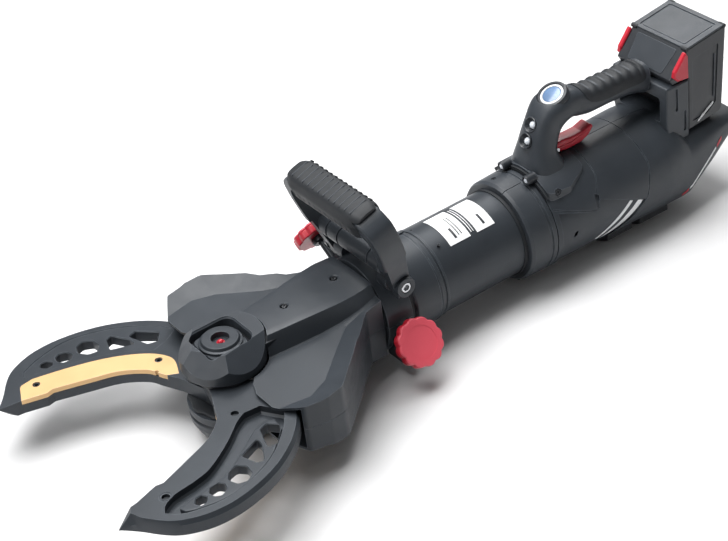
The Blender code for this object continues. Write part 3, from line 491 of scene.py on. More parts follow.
# ---- blades ----
BLADE_LOW = -17.5
BLADE_HIGH = -0.3
INSERT_LOW = -6.3
HUB_RADIUS = 28.5
PIVOT_BORE = 16
BOLT_WAY = 4.2
WEB_DEPTH, CHANNEL_FLOOR = -1.3, -7.8
TURNED_OVER = Matrix.Rotation(pi, 4, "X")
INSERT_BOLTS = [(-152, 130.5), (-37, 74.5)]
BLADE_TIP = (-201.5, 121.5)
TIP_LENGTH = 26


def blade_edge():
    """The cutting edge of the blade on the +Y side, from the tip to the hub, with a beak near the tip."""
    beak = [(-201.1, 121), (-176, 117.5), (-151, 109.8)]
    return [*beak, *smooth([(-143, 111.5), (-106, 98.5), (-77, 87.3), (-55, 69), (-47, 52), (-37, 30)])]


def blade_back():
    """The outer edge, from the root under the guard to the tip."""
    return smooth([(26, 70), (18, 100), (6, 124), (-14, 146), (-40, 164), (-65, 175), (-92, 181.5),
        (-116, 183), (-138, 179.5), (-160, 169.5), (-174, 156), (-187, 138), (-201.5, 121.5)])


def insert_back():
    """The line between insert and blade, from the tip end to the root."""
    return smooth([(-151, 141.5), (-117, 132), (-84, 120), (-58, 106), (-38, 90), (-27, 74), (-25.5, 60),
        (-33.5, 40)])


def insert_outline():
    """The insert seen from above: the middle of the cutting edge, closed by the insert's back."""
    edge = [point for point in blade_edge() if -177 < point[0] < -42]
    front = rounded([(-176.5, 117.7), (-166.5, 139.5), (-151, 141.5)], 7, 5, closed=False)
    return [*front[:-1], *insert_back(), *reversed(edge[1:])]


def web_outline():
    """The shallow pocket of the shear face, between the rim and the insert."""
    rim = smooth([(-153, 158), (-128, 168.5), (-88, 173.5), (-40, 155), (-4, 123.5)], 6)
    band = [(x + 2, y + 6) for x, y in insert_back()[:-11]]
    loop = [*rim, (4, 108), (-12, 98), *band[::-1], (-157, 149)]
    return grown(rounded(loop, 3, 3), 0.5)


def channel_outline():
    """The deep pocket of the outer face, wide beside the band at the root and round at the tip."""
    rim = smooth([(-158, 157.5), (-142, 165.5), (-110, 171.5), (-74, 165), (-42, 150), (-13, 125)], 6)
    band = smooth([(-30, 80), (-43, 87), (-67, 106), (-99, 125.5), (-121, 131), (-144, 133.5), (-158, 140),
        (-164.5, 149)], 6)
    return [*rim, (2, 105), (-12, 82), *band]


def island_outline():
    """The raised web in the deep pocket, which carries the row of holes."""
    band = smooth([(-10, 104), (-20, 100.5), (-36, 105), (-60, 121.5), (-91, 139.5), (-120, 144),
        (-138, 145.5), (-149, 149)], 6)
    rim = smooth([(-147, 156), (-135, 161.5), (-106, 167), (-72, 160.5), (-41, 146), (-13, 121)], 6)
    return rounded([*band, *rim], 1.5, 2)


def holes():
    """Five openings that grow from the tip to the root."""
    shapes = [[(-135, 153.5), (-130, 147.5), (-123, 147.5), (-120.5, 153), (-125, 159), (-132, 159)],
        [(-116.5, 150), (-112, 144), (-103, 143), (-98.5, 149), (-101, 157), (-109, 160.5), (-115, 157)],
        [(-93, 147.5), (-86, 137.5), (-76, 135), (-69.5, 143), (-71, 155), (-80, 160.5), (-89, 157.5)],
        [(-65, 127.5), (-40, 117), (-41, 127), (-52, 147.5), (-59, 145)], [(-30, 107.5), (-20, 104.5),
        (-10.5, 116), (-29, 136), (-38.5, 133)]]
    radii = [3, 4, 4.2, 2.6, 2.6]
    return [rounded(shape, radius, 4) for shape, radius in zip(shapes, radii)]


def blade_body():
    """Sections from root to tip: a chamfer along the outer edge that takes the whole width at the tip."""
    count = 110
    back = resampled(blade_back(), count)
    edge = resampled([(-HUB_RADIUS, 0), *reversed(blade_edge())], count)
    rings = []
    for outer, inner in zip(back, edge):
        a, b = Vector(outer), Vector(inner)
        width = max((b - a).length, 0.2)
        way = (b - a).normalized()
        tip = max(0, 1 - dist(a, BLADE_TIP) / TIP_LENGTH)
        slope = min(3.2 + 20 * tip, 0.8 * width)
        foot = -13 + 11.5 * tip
        face = BLADE_LOW + 15 * max(0, 2 * tip - 1)
        brow = min(0.7, 0.2 * width)
        line = [(brow, BLADE_HIGH), (0, BLADE_HIGH - brow), (0, foot), (slope, face),
            (max(width - brow, slope + 0.02), face), (width, face + brow), (width, BLADE_HIGH - brow / 2),
            (width - brow / 2, BLADE_HIGH)]
        rings.append([(a.x + way.x * d, a.y + way.y * d, z) for d, z in line])
    return skin(rings)


def build_blade(name, body, turn):
    """A forged blade with its pockets and holes."""
    tail = Vector((46 * cos(radians(43)), 46 * sin(radians(43))))
    hub = rod(HUB_RADIUS, BLADE_LOW - 0.3, BLADE_HIGH + 0.2, steps=60)
    lug = [(14, 4), *arc((tail.x, tail.y), 13, -50, 130, 16), (4, 22)]
    mesh = fused(blade_body(), hub, plate(lug, -14, -0.5, 0.8))
    mesh = carved(mesh, plate(grown(insert_outline(), 0.3), INSERT_LOW - 0.3, 20))
    mesh = carved(mesh, plate(web_outline(), WEB_DEPTH, 10, 1.3, steps=0))
    mesh = carved(mesh, plate(channel_outline(), -30, CHANNEL_FLOOR, 2.2, steps=0))
    mesh = fused(mesh, plate(island_outline(), -13.2, -4, 1.2))
    for hole in holes():
        mesh = carved(mesh, plate(hole, -30, 30))
        mesh = carved(mesh, plate(grown(hole, 0.9), -2.3, 2, 0.8, steps=0))
        mesh = carved(mesh, plate(grown(hole, 0.9), -16, -12.4, 0.8, steps=0))
    x, y = INSERT_BOLTS[0]
    bolt_ways = [moved(rod(BOLT_WAY, -30, 30), at(x, y, 0)) for x, y in INSERT_BOLTS]
    ring = moved(turned([(6.8, -17), (6.8, -19), (5, -19), (5, -17)], 32), at(x, y, 0))
    pivot = rod(PIVOT_BORE, -50, 50, steps=48)
    eye = moved(rod(5.3, -50, 50), at(tail.x, tail.y, 0))
    nose = moved(block((-50, -50, 0), (50, 50, 50)), facing((-188, 126, BLADE_LOW), (-0.83, -0.55, -0.83)))
    mesh = carved(mesh, *bolt_ways, ring, pivot, eye, nose)
    show(f"blade_{name}_forged", moved(mesh, turn), "coated_steel", f"blade_{name}", body=body)


def build_insert(name, body, turn):
    """The blade's cutting insert and its two bolts."""
    ways = [arc(spot, BOLT_WAY, 0, 345, 24) for spot in INSERT_BOLTS]
    insert = plate(insert_outline(), INSERT_LOW + 0.3, BLADE_HIGH, 0.3, ways, 1)
    notch = moved(rod(2.2, -10, 10, steps=20), at(-49, 58.5, 0))
    show(f"insert_{name}_edge", moved(carved(insert, notch), turn), "blade_insert", f"insert_{name}",
        body=body)
    for label, (x, y) in zip(("tip", "root"), INSERT_BOLTS):
        screw = carved(rod(3.9, -14.5, -1.2, 0.4), plate(hexagon(2.3), -4, 10))
        place = turn @ at(x, y, 0)
        show(f"insert_bolt_{name}_{label}", moved(screw, place), "dark_steel", body=body)


# ---- nose, fork and guard ----
NOSE_RADIUS = 45
NOSE_INNER = 41
COVER_FACETS = [(-82, 27.5, 49), (-146, 27.2, 47), (146, 29, 48), (82, 30, 50)]


def cover_planes(drop):
    """Blocks whose undersides are the cap's sloping facets, lowered by drop."""
    blocks = []
    for bearing, reach, slope in COVER_FACETS:
        b, a = radians(bearing), radians(slope)
        level = Vector((cos(b) * sin(a), sin(b) * sin(a), cos(a)))
        foot = Vector((reach * cos(b), reach * sin(b), 50)) - level * drop
        blocks.append(moved(block((-100, -100, 0), (100, 100, 100)), facing(foot, level)))
    return blocks


def build_nose():
    """A faceted cap with a square window over the pivot, and the bowl that the tool stands on."""
    cap = carved(rod(NOSE_RADIUS, 22.5, 50.5, steps=96), *cover_planes(0))
    cap = bevelled(cap, 1.2, 3, 18)
    cap = carved(cap, carved(rod(NOSE_INNER, 10, 40.1, steps=96), *cover_planes(1.8)))
    window = pane(-26, -24.5, 27, 26, 12, 8)
    neck = block((5, -30.6, -40), (60, 30.6, 40))
    cap = carved(cap, plate(window, 30, 70), neck)
    brim = plate(grown(window, 1.2), 48.5, 60, 1.2, steps=0)
    show("nose_cap", carved(cap, brim), "anthracite", "nose_cover_upper")
    pad = plate(pane(-22.5, -22.5, 22.5, 22.5, 11, 8), 39.9, 43.7, 1.2)
    pad = carved(pad, rod(PIVOT_BORE, 0, 100, steps=48))
    show("pivot_pad", pad, "coated_steel")
    bulge = rounded([(NOSE_RADIUS, -22.5), (NOSE_RADIUS, -30), (43, -31.5), (43, -33.5), (NOSE_RADIUS, -35),
        (44.5, -42), (40, -53), (31, -66)], 1.2, 3, False)
    bowl = turned([(0, -53.5), (26, -53.5), (26, -40), (NOSE_INNER, -40), (NOSE_INNER, -22.5), *bulge,
        (0, -66)], 96)
    show("nose_bowl", carved(bowl, neck), "anthracite", "nose_cover_lower")
    for name, low, high in (("upper", 17.9, 22.2), ("lower", -22.2, -17.9)):
        wave = lobed(lambda i: 42.5 + 1.1 * cos(2 * pi * i / 12), 120)
        ring = plate(wave, low, high, 1.1, [arc((0, 0), 26.8, 0, 354, 60)])
        room = block((18, -60, -50), (80, 60, 50))
        show(f"hub_seal_{name}", carved(ring, room), "black_rubber")


def build_pivot():
    """The pivot bolt's ringed head, with a red plug in its bore."""
    head = rounded([(9.5, 43.8), (9.5, 50.2), (19, 50.2), (20.5, 47), (22.8, 46.2), (22.8, 44)],
        [0, 0.8, 1.2, 0.8, 0.8, 0], 4, False)
    bolt = turned([(0, 43.8), *head, (15.7, 44), (15.7, -52), (0, -52)], 64)
    show("pivot_head", bolt, "coated_steel", "pivot_bolt")
    dome = [*arc((0, 44), 3.4, 90, 12, 8), (4.2, 44.4), (4.2, 43.9), (0, 43.9)]
    show("pivot_plug", turned(dome, 32), "red_plastic")


def build_fork():
    """Two arms on a neck, with the spigot that screws into the cylinder."""
    neck = rounded([*arc((0, 0), 40, 48, 312, 48), (150, -30), (150, 30)], [0] * 48 + [2, 2])
    fork = plate(neck, -39.6, 39.6, 1.5)
    spigot = moved(turned([(0, 40), (39.5, 40), (39.5, 25.2), (46, 25.2), (46, 0), (0, 0)], 64), along_x(125))
    fork = fused(fork, spigot)
    fork = carved(fork, block((-80, -80, -27), (124.5, 80, 27)), rod(PIVOT_BORE, -50, 50, steps=48),
        moved(rod(14.3, -50, 50, steps=48), along_x(150)))
    under_cap = block((-60, -60, 20), (20, 60, 60))
    fork = carved(fork, *(common(cutter, under_cap) for cutter in cover_planes(2.4)))
    show("fork", fork, "dark_steel", "yoke")


GUARD_ROOF = [  # x, half of spine's flat, half of spine, spine top, wing top, bevel line, wing edge top
    (-12, 19, 25.5, 47, 22.5, 102, 29),
    (30, 19, 26, 47.5, 22.5, 110, 29),
    (55, 21, 29, 48, 23, 100, 29),
    (93, 24, 33.5, 48.6, 24.5, 68, 30),
    (118, 26.5, 37, 49.6, 28, 50, 30),
    (142, 27, 38.5, 50.5, 33, 47, 32),
    (172, 24, 35, 51.2, 38, 47, 35),
]
GUARD_PLAN = [(164, 50), (143, 51.5), (93, 97), (56, 130), (37, 132), (12, 127), (4.5, 116), (-7, 98),
    (-7, 70), (-1, 55), (10, 42)]
GUARD_ROUND = [4, 6, 20, 14, 10, 6, 6, 8, 10, 8, 0]


def roof(drop=0):
    """The guard's top surface over the tool axis, lowered by drop, as a closed solid."""
    loops = []
    for x, flat, spine, top, wing, line, edge in GUARD_ROOF:
        foot = min(spine + 7.5, line - 0.5)
        slope = (wing - 1 - edge) / 22
        half = [(0, top), (flat, top - 0.6), (spine - 1, top - 2.2), (spine, top - 4.2),
            (foot - 1.5, wing + 1), (foot, wing), (line, wing - 1), (line + 60, wing - 1 - 60 * slope),
            (line + 60, -20)]
        half = [(y, z - (drop if z > 0 else 0)) for y, z in half]
        loops.append([*((x, y, z) for y, z in half), *((x, -y, z) for y, z in reversed(half[1:]))])
    return skin(loops)


def mirrored(half):
    """A line in XY and, on its way back, its mirror image in Y."""
    return [*half, *((x, -y) for x, y in reversed(half))]


def guard_half():
    """The upper shell: the plan cut by the roof, hollow, and open at the nose and at the sleeve."""
    plan = mirrored(rounded(GUARD_PLAN, GUARD_ROUND, 5, closed=False))
    shell = common(plate(plan, 0.2, 70), roof())
    shell = bevelled(shell, 1, 2, 24)
    inside = [(180, 47), (143, 48), (91.5, 94.5), (55, 126.5), (37, 128.5), (12, 123.5), (-60, 123.5)]
    cavity = common(plate(mirrored(inside), -10, 70), roof(3))
    return carved(shell, cavity, rod(47, -10, 100, steps=96), moved(rod(48.4, 0, 50, steps=96), along_x(148)))


def build_guard():
    """Two winged half-shells, screwed to the neck; the lower one is the mirror of the upper."""
    upper = guard_half()
    lower = moved(upper.copy(), Matrix.Scale(-1, 4, (0, 0, 1)))
    dips = []
    for x, top in ((78.5, 48.5), (141.8, 50.6)):
        dips.append(moved(turned([(0, 3), (6.2, 3), (6.2, 0.4), (4.2, -1.2), (4.2, -10), (0, -10)], 32),
            at(x, 0, top)))
        screw = carved(rod(2.7, -4, -0.8, 0.6), plate(hexagon(1.6), -2.5, 2))
        show(f"guard_screw_{'front' if x < 100 else 'rear'}", moved(screw, at(x, 0, top)), "dark_steel")
    show("guard_shell_upper", carved(upper, *dips), "anthracite", "guard_upper", angle=12)
    show("guard_shell_lower", lower, "anthracite", "guard_lower", angle=12)


# ---- carry handle ----
BOSS = Vector((187, 0, 48))
HANDLE_LEAN = radians(18)
KNOB_TILT = radians(34)
CLAMP_X = (166.5, 199)
BOSS_SCREW = 42


def boss_place(side, out):
    """The place on a boss's axis at a distance from the middle of the tool, looking outwards."""
    return facing((BOSS.x, side * out, BOSS.z), (0, side, 0))


def knob_place(side):
    """The middle of a knob and the direction that its face looks in."""
    centre = (185, 93, 41) if side > 0 else (185, -80, -14)
    return Vector(centre), Vector((0, side * cos(KNOB_TILT), sin(KNOB_TILT)))


def build_clamp():
    """The split ring round the cylinder's neck, with bosses for the handle and lugs for the knobs."""
    length = CLAMP_X[1] - CLAMP_X[0]
    outer = rounded([(48.6, length), (55, length), (55, 0), (48.6, 0)], 1.2, 3)
    lugs = {1: ((174, 40, 4), (196, 59, 29)), -1: ((174, -64, -47), (196, -36, -20))}
    for name, side in (("upper", 1), ("lower", -1)):
        ring = moved(turned(outer[::-1], 96), along_x(CLAMP_X[0]))
        ring = fused(ring, block(*lugs[side], 2))
        if side > 0:
            ring = fused(ring, *(moved(rod(12.5, 0, 15.5, 1), boss_place(way, 30.5)) for way in (1, -1)))
        ring = carved(ring, block((100, -120, min(side * 0.2, -side * 120)),
            (250, 120, max(side * 0.2, -side * 120))), moved(rod(48.5, 0, 200, steps=96), along_x(100)))
        centre, axis = knob_place(side)
        ring = carved(ring, moved(rod(5.6, -30, 30), facing(centre - axis * 28, axis)))
        show(f"clamp_ring_{name}", ring, "dark_steel", f"clamp_{name}", body="carry_handle",
            look="coated_steel")


def build_knobs():
    """A lobed knob with a dished face on a threaded stud."""
    for name, side in SIDES:
        centre, axis = knob_place(side)
        star = lobed(lambda i: 24.9 + 2 * abs(cos(pi * i / 12)), 144)
        knob = plate(star, -6, 3, 1.4)
        face = plate(grown(star, -0.3), 2.6, 6, 1.6, steps=3)
        face = carved(face, turned([(0, 10), (18.5, 10), (18, 5.6), (0, 5.3)], 64))
        place = facing(centre, axis)
        # The face gets a lighter red than the rest of the knob: painted highlight.
        show(f"knob_{name}_face", moved(face, place), "red_plastic", body=f"knob_{name}", look="highlit_knob_face")
        show(f"knob_{name}_lobed", moved(knob, place), "red_plastic", f"knob_{name}", body=f"knob_{name}")
        stud = [(0, -5.8), (10.5, -5.8), (10.5, -11), (9.5, -12.5), (5, -12.5), (5, -50), (0, -50)]
        show(f"knob_{name}_stud", moved(turned(stud, 48), place), "dark_steel", body=f"knob_{name}")


def handle_place():
    """Local X across the tool, local Y up the leaning handle, local Z towards the battery."""
    return framed(BOSS, Vector((0, 1, 0)), Vector((-sin(HANDLE_LEAN), 0, cos(HANDLE_LEAN))))


def both_sides(half):
    """A line in XY and, on its way back, its mirror image in X."""
    return [*half, *((-x, y) for x, y in reversed(half))]


def build_handle_arms():
    """Broad arms that rise from the bosses and close over the grip."""
    outer = both_sides([(48.2, -11), (52, -13), (57.5, -12.5), (60, -8), *smooth([(61.8, 10), (70, 35),
        (76.5, 60), (78.5, 78), (76.5, 94), (69, 103), (60, 108.5)], 4)])
    inner = both_sides([(47.6, -30), *smooth([(48, -10), (51, 12), (63, 45), (69, 70), (67.2, 85),
        (61, 91.4)], 4)])
    frame_mesh = plate(outer, -15.2, 15.2, 2.8)
    frame_mesh = carved(frame_mesh, plate(inner, -30, 30))
    for face in (1, -1):
        wedge = [(30, -30), (100, -30), (100, 50), (80, 45), (40, 35)]
        for side in (1, -1):
            low, high = sorted((face * 12.8, face * 30))
            lean = at(0, 45, 0) @ Matrix.Rotation(face * radians(3), 4, "X")
            cutter = moved(plate([(side * x, y - 45) for x, y in wedge], low, high), lean)
            frame_mesh = carved(frame_mesh, cutter)
    frame_mesh = moved(bevelled(frame_mesh, 0.9, 2, 32), handle_place())
    for side in (1, -1):
        dip = moved(rod(12.2, 0, 20, steps=44), boss_place(side, 58.6))
        way = moved(rod(4.7, -20, 20), boss_place(side, 54))
        frame_mesh = carved(frame_mesh, dip, way)
    show("handle_arms", frame_mesh, "anthracite", "carry_handle_frame", body="carry_handle")


def build_boss_bolts():
    """A socket screw inside a raised rim on each boss."""
    for name, side in SIDES:
        head = turned([(0, 23.6), (5.2, 23.6), (5.8, 23), (5.8, 18.8), (4.1, 18.8), (4.1, 0), (0, 0)], 48)
        bolt = carved(head, plate(hexagon(4), 20.5, 30))
        show(f"boss_screw_{name}", moved(bolt, boss_place(side, BOSS_SCREW)), "bright_steel",
            f"boss_bolt_{name}", body="carry_handle")
        rim = turned(rounded([(11.2, 23.8), (12, 17), (6.2, 17), (6.2, 23.8)], 0.8, 3), 48)
        show(f"boss_rim_{name}", moved(rim, boss_place(side, BOSS_SCREW)), "anthracite", body="carry_handle")


GRIP_START = -50
GRIP_MIDDLE = 100.2
RIB_PITCH = 9.1
BEAD_PITCH = 8.4


def build_grip():
    """A rubber sleeve, flat on top with cross ribs, beaded along its rear edge."""
    rings = []
    count = 60
    line = rounded([(86, -17.5), (105, -19.2), (116, -13), (116.8, 0), (116, 13), (105, 19.2), (86, 17.5),
        (83.8, 10), (83.8, -10)], 9, 5)
    for i in range(count + 1):
        x = -62.5 + 125 * i / count
        end = max(0, (abs(x) - 48) / 14.5)
        size = 1 - 0.24 * end * end
        rings.append([(x, GRIP_MIDDLE + (v - GRIP_MIDDLE) * size, w * size) for v, w in line])
    grip = skin(rings)
    ribs = []
    for i in range(12):
        x = GRIP_START + RIB_PITCH * i
        ribs.append(block((x - 0.8, 113, -11.5), (x + 0.8, 117.1, 11.5), 0.6, 1))
        ribs.append(block((x - 0.8, 93, -19), (x + 0.8, 103, -17), 0.6, 1))
    beads = [moved(rod(2.1, -1.5, 1.2, 0.8, 16), facing((GRIP_START + BEAD_PITCH * i, 111.7, 15.6),
        (0, 0.55, 0.83))) for i in range(13)]
    hollow = block((-80, 91.2, -15.6), (80, 109.6, 15.6))
    grip = carved(grip, hollow)
    place = handle_place()
    show("grip_sleeve", moved(together(grip, *beads), place), "black_rubber", "carry_grip",
        body="carry_handle")
    # The ribs take a paler rubber than the sleeve: painted highlight on their crests.
    show("grip_ribs", moved(together(*ribs), place), "black_rubber", body="carry_handle", look="rib_highlight_rubber")


def build_cross_bar():
    """A bar with turned grooves between the handle's arms."""
    bands = [(11.8, 122)]
    for start in (106.5, 87, 35, 15.5):
        bands += [(11.8, start), (10.4, start - 0.4), (10.4, start - 2.8), (11.8, start - 3.2)]
    bar = turned([*bands, (11.8, 0), (6, 0), (6, 122)], 48)
    foot = Vector((BOSS.x - 26 * sin(HANDLE_LEAN), -61, BOSS.z + 26 * cos(HANDLE_LEAN)))
    # The bar takes the lighter coated finish rather than its dark steel, as painted light against the shade
    # it sits in.
    show("cross_bar_turned", moved(bar, facing(foot, (0, 1, 0))), "dark_steel", "cross_bar",
        body="carry_handle", look="coated_steel")


# ---- cylinder ----
def band_patch(x_low, x_high, first, last, low, high, steps=24):
    """A thin patch bent round the tool axis, from one bearing to another in degrees from +Z towards +Y."""
    rings = []
    for i in range(steps + 1):
        a = radians(first + (last - first) * i / steps)
        y, z = sin(a), cos(a)
        rings.append([(x_low, y * low, z * low), (x_high, y * low, z * low), (x_high, y * high, z * high),
            (x_low, y * high, z * high)])
    return skin(rings)


TUBE_FRONT, TUBE_STEP, TUBE_REAR = 150.5, 205.5, 372
SLOT = pane(-10, -2.4, 10, 2.4, 2.4, 5)
SLOT_PLACE = facing((245, 13, 50.2), (0, 0.259, 1))


def build_barrel():
    """The barrel, with a black floor laid in the slot that goes through the sleeve, as painted shade."""
    length = TUBE_REAR - TUBE_FRONT
    step = TUBE_STEP - TUBE_FRONT
    tube = turned([*rounded([(40, length), (TUBE_RADIUS, length), (TUBE_RADIUS, step + 53),
        (TUBE_RADIUS, step), (48, step - 1), (48, 0), (40, 0)], [0, 1, 0, 0.6, 0.4, 0.6, 0], 3)][::-1], 128)
    tube = carved(moved(tube, along_x(TUBE_FRONT)), moved(plate(SLOT, -3, 10), SLOT_PLACE))
    show("cylinder_barrel", tube, "coated_steel", "cylinder_tube")
    # A black floor in the shallow slot: painted shade in the recess.
    floor = plate(grown(SLOT, -0.1), -2.9, -2.4)
    show("sleeve_slot_shade", moved(floor, SLOT_PLACE), "black_rubber")


def build_sleeve():
    """The front sleeve with its slot and pip, a black gap before it and a lip behind it."""
    run = 39
    band = [(50.3, run), (51.6, run), (52.3, run - 3.5), (52.3, 34.5), (51.7, 34), (51.7, 32.8),
        (52.3, 32.3), (52.3, 2), (51.2, 0), (50.3, 0)]
    band = turned(rounded(band, [0, 0.6, 1, 0.3, 0.2, 0.2, 0.3, 1, 0.4, 0], 3)[::-1], 128)
    band = moved(band, along_x(206.3))
    pip = moved(rod(1.6, -3, 3, steps=20), facing((260, -25, 43.6), (0, -0.5, 0.87)))
    show("sleeve_band", carved(band, moved(plate(SLOT, -10, 10), SLOT_PLACE)), "anthracite",
        "front_sleeve")
    show("sleeve_pip", pip, "dark_steel")
    gap = turned([(49.2, 7), (49.2, 0), (48.2, 0), (48.2, 7)], 96)
    show("clamp_gap", moved(gap, along_x(199.2)), "black_rubber")
    lip = turned(pane(50.3, 3, 51, 0, 0.3, 2)[::-1], 128)
    show("sleeve_lip", moved(lip, along_x(248)), "anthracite")


def build_label():
    """Two blank white fields with dark bars between and on them."""
    low, high = TUBE_RADIUS + 0.3, TUBE_RADIUS + 0.6
    fields = together(band_patch(272, 299.5, -38, 18, low, high), band_patch(308.5, 332.5, -38, 18, low,
        high), band_patch(302.2, 303.2, -34, 14, low, high), band_patch(305.2, 306, -34, 14, low, high))
    show("label_fields", fields, "white_label", "rating_label")
    bars = [band_patch(x, x + 1.2, -30, 2, high, high + 0.12, 12) for x in (288, 291.5)]
    bars += [band_patch(x, x + 3, -32, -16, high, high + 0.12, 8) for x in (282, 320)]
    show("label_bars", together(*bars), "black_plastic")


def build_collar():
    """The stepped ring between the cylinder and the drive housing, with its clamp lug below."""
    run = 35.5
    ring = turned(rounded([(50.3, run), (60, run), (60, 30), (58.5, 29.2), (58.5, 27.2), (60, 26.4),
        (59.2, 3.5), (57, 0), (50.3, 0)], [0, 1, 0.5, 0.2, 0.2, 0.5, 1.5, 1, 0], 3)[::-1], 128)
    lug = block((370, -16.5, -64.5), (394, 16.5, -53), 2)
    ring = fused(moved(ring, along_x(359.5)), lug)
    seam = moved(block((356, -0.5, 56), (387, 0.5, 64)), Matrix.Rotation(radians(13), 4, "X"))
    dip = moved(rod(3, -1.2, 4), facing((371, 15, 56.6), (0, 0.26, 0.97)))
    ring = carved(ring, seam, dip)
    show("collar_ring", ring, "anthracite", "rear_collar")
    screw = moved(carved(rod(2.6, -1.2, 0, 0.4), rod(1.2, -0.8, 10, steps=6)),
        facing((371, 15, 56.6), (0, 0.26, 0.97)))
    show("collar_screw", screw, "dark_steel")
    gap = turned([(51.2, 4), (51.2, 0), (50.3, 0), (50.3, 4)], 96)
    show("collar_seal", moved(gap, along_x(355.2)), "black_rubber")


# ---- drive housing ----
HOUSING = [  # x, up, down, half width, power of the section
    (396, 60, 60, 60, 2.0),
    (430, 62.5, 61, 62.5, 2.0),
    (500, 63.2, 61, 63.5, 2.0),
    (560, 63, 60.5, 63, 2.2),
    (583, 59, 59, 60, 2.5),
    (600, 36, 51, 57.5, 3.4),
    (640, 35, 23, 52, 3.8),
    (681, 31, -10, 46, 4.0),
]
HOUSING_WALL = 3


def power_ring(half_width, half_depth, power, count):
    """Points (across, up) round a superellipse."""
    ring = []
    for i in range(count):
        c, s = cos(2 * pi * i / count), sin(2 * pi * i / count)
        ring.append((half_width * copysign(abs(c) ** (2 / power), c),
            half_depth * copysign(abs(s) ** (2 / power), s)))
    return ring


def housing_form(grow=0, front=0, rear=0):
    """The housing's outer form, grown by a distance and longer at its ends."""
    stations = []
    for a, b in zip(HOUSING, HOUSING[1:]):
        stations += [tuple(p + (q - p) * k / 4 for p, q in zip(a, b)) for k in range(4)]
    stations.append(HOUSING[-1])
    rings = []
    for i, (x, up, down, half, power) in enumerate(stations):
        x += rear if i == len(stations) - 1 else -front if i == 0 else 0
        ring = power_ring(half + grow, (up + down) / 2 + grow, power, 72)
        rings.append([(x, y, (up - down) / 2 + z) for y, z in ring])
    return skin(rings)


def strip(line, width):
    """A band of a given width about a line in XZ."""
    return [*((x, z + width / 2) for x, z in line), *((x, z - width / 2) for x, z in reversed(line))]


def upright(line, width):
    """A band of a given width about a steep line in XZ."""
    return [*((x + width / 2, z) for x, z in line), *((x - width / 2, z) for x, z in reversed(line))]


def engraved(shell, cutter, depth):
    """The shell with the cutter's mark sunk to a depth below the housing's form."""
    return carved(shell, carved(cutter, housing_form(-depth, front=10, rear=10)))


SIDE_SEAM = [(467, 70), (465, 45), (456, 30), (454, 22)]
PANEL_SEAM = [(528, 80), (533, 32), (524, -3), (507, -21), (478, -45), (470, -70)]
LOWER_PANEL = [(458.5, 22.5), (521.5, -5), (505, -23), (476, -47), (469, -70), (402, -70), (402, 28),
    (450, 12)]
STRIPES = [[(503, 0.5), (499, 2.5), (480, -13.5), (455, -33), (458.5, -35), (484.5, -16.5)],
    [(518.5, -6), (511, -2.5), (490.5, -20.5), (466, -40), (471.5, -42.5), (497.5, -25.5)]]
SEAM_DEPTH, PANEL_DEPTH, NOTCH_DEPTH = 0.9, 2, 2.7
ACROSS = 80
TOOTH_COUNT = 8


def build_housing():
    """Two half shells with seams, panels, a notch and ports."""
    shell = carved(housing_form(), housing_form(-HOUSING_WALL, front=20, rear=-HOUSING_WALL))
    for outline in (upright(SIDE_SEAM, 1.1), upright(PANEL_SEAM, 1.3), strip([(398, 33), (452, 12)], 1)):
        shell = engraved(shell, side_plate(outline, ACROSS), SEAM_DEPTH)
    shell = engraved(shell, side_plate(LOWER_PANEL, ACROSS), PANEL_DEPTH)
    notch = rounded([(452.5, 31), (458, 27), (456, 12), (450.5, 15)], 1, 2)
    shell = engraved(shell, side_plate(notch, ACROSS), NOTCH_DEPTH)
    for side in (1, -1):
        port = rounded([(417, -9), (422.5, -7.5), (425, -1), (419.5, -2.5)], 2.5, 4)
        shell = carved(shell, side_plate(port, 6, middle=side * 63.5))
    shell = engraved(shell, block((390, -0.42, 50), (600, 0.42, 80)), 0.6)
    for name, low, high in (("left", -200, 0.05), ("right", 0.05, 200)):
        half = common(shell, block((300, low, -200), (800, high, 200)))
        show(f"housing_shell_{name}", half, "anthracite", f"housing_{name}", angle=26)


def build_stripes():
    """Pale stripes set into the sides and round the tail, and red reflectors on the tail."""
    skin_band = carved(housing_form(-1.7), housing_form(-2.2, front=10, rear=10))
    stripes = [common(skin_band, side_plate(outline, ACROSS)) for outline in STRIPES]
    rim = carved(housing_form(0.4), housing_form(-0.2, front=10, rear=10))
    stripes.append(common(rim, side_plate(strip([(641, 2), (596, -30)], 3), ACROSS)))
    show("side_stripes", together(*stripes), "white_label")
    marks = [strip([(651, 10), (643, 3.5)], 4.5), strip([(594, -31.5), (587, -36.5)], 4.5)]
    show("tail_reflectors", together(*(common(rim, side_plate(mark, ACROSS)) for mark in marks)),
        "red_plastic")


def build_pads():
    """Two toothed feet under the housing and a pad under its tail."""
    for name, low, high in (("front", 483, 520), ("rear", 532, 575)):
        teeth = []
        pitch = (high - low) / TOOTH_COUNT
        for i in range(TOOTH_COUNT):
            x = high - pitch * i
            teeth += [(x, -66), (x - 0.55 * pitch, -66), (x - 0.7 * pitch, -64)]
        pad = side_plate([(low, -40), (high, -40), *teeth, (low, -66)], 40)
        pad = carved(common(pad, housing_form(6.2)), housing_form())
        show(f"foot_pad_{name}", pad, "black_rubber", f"foot_{name}")
    bumper = carved(common(side_plate([(627, 2), (643, 14), (648, -30), (620, -30)], 40), housing_form(5)),
        housing_form())
    show("tail_pad", bumper, "black_rubber")


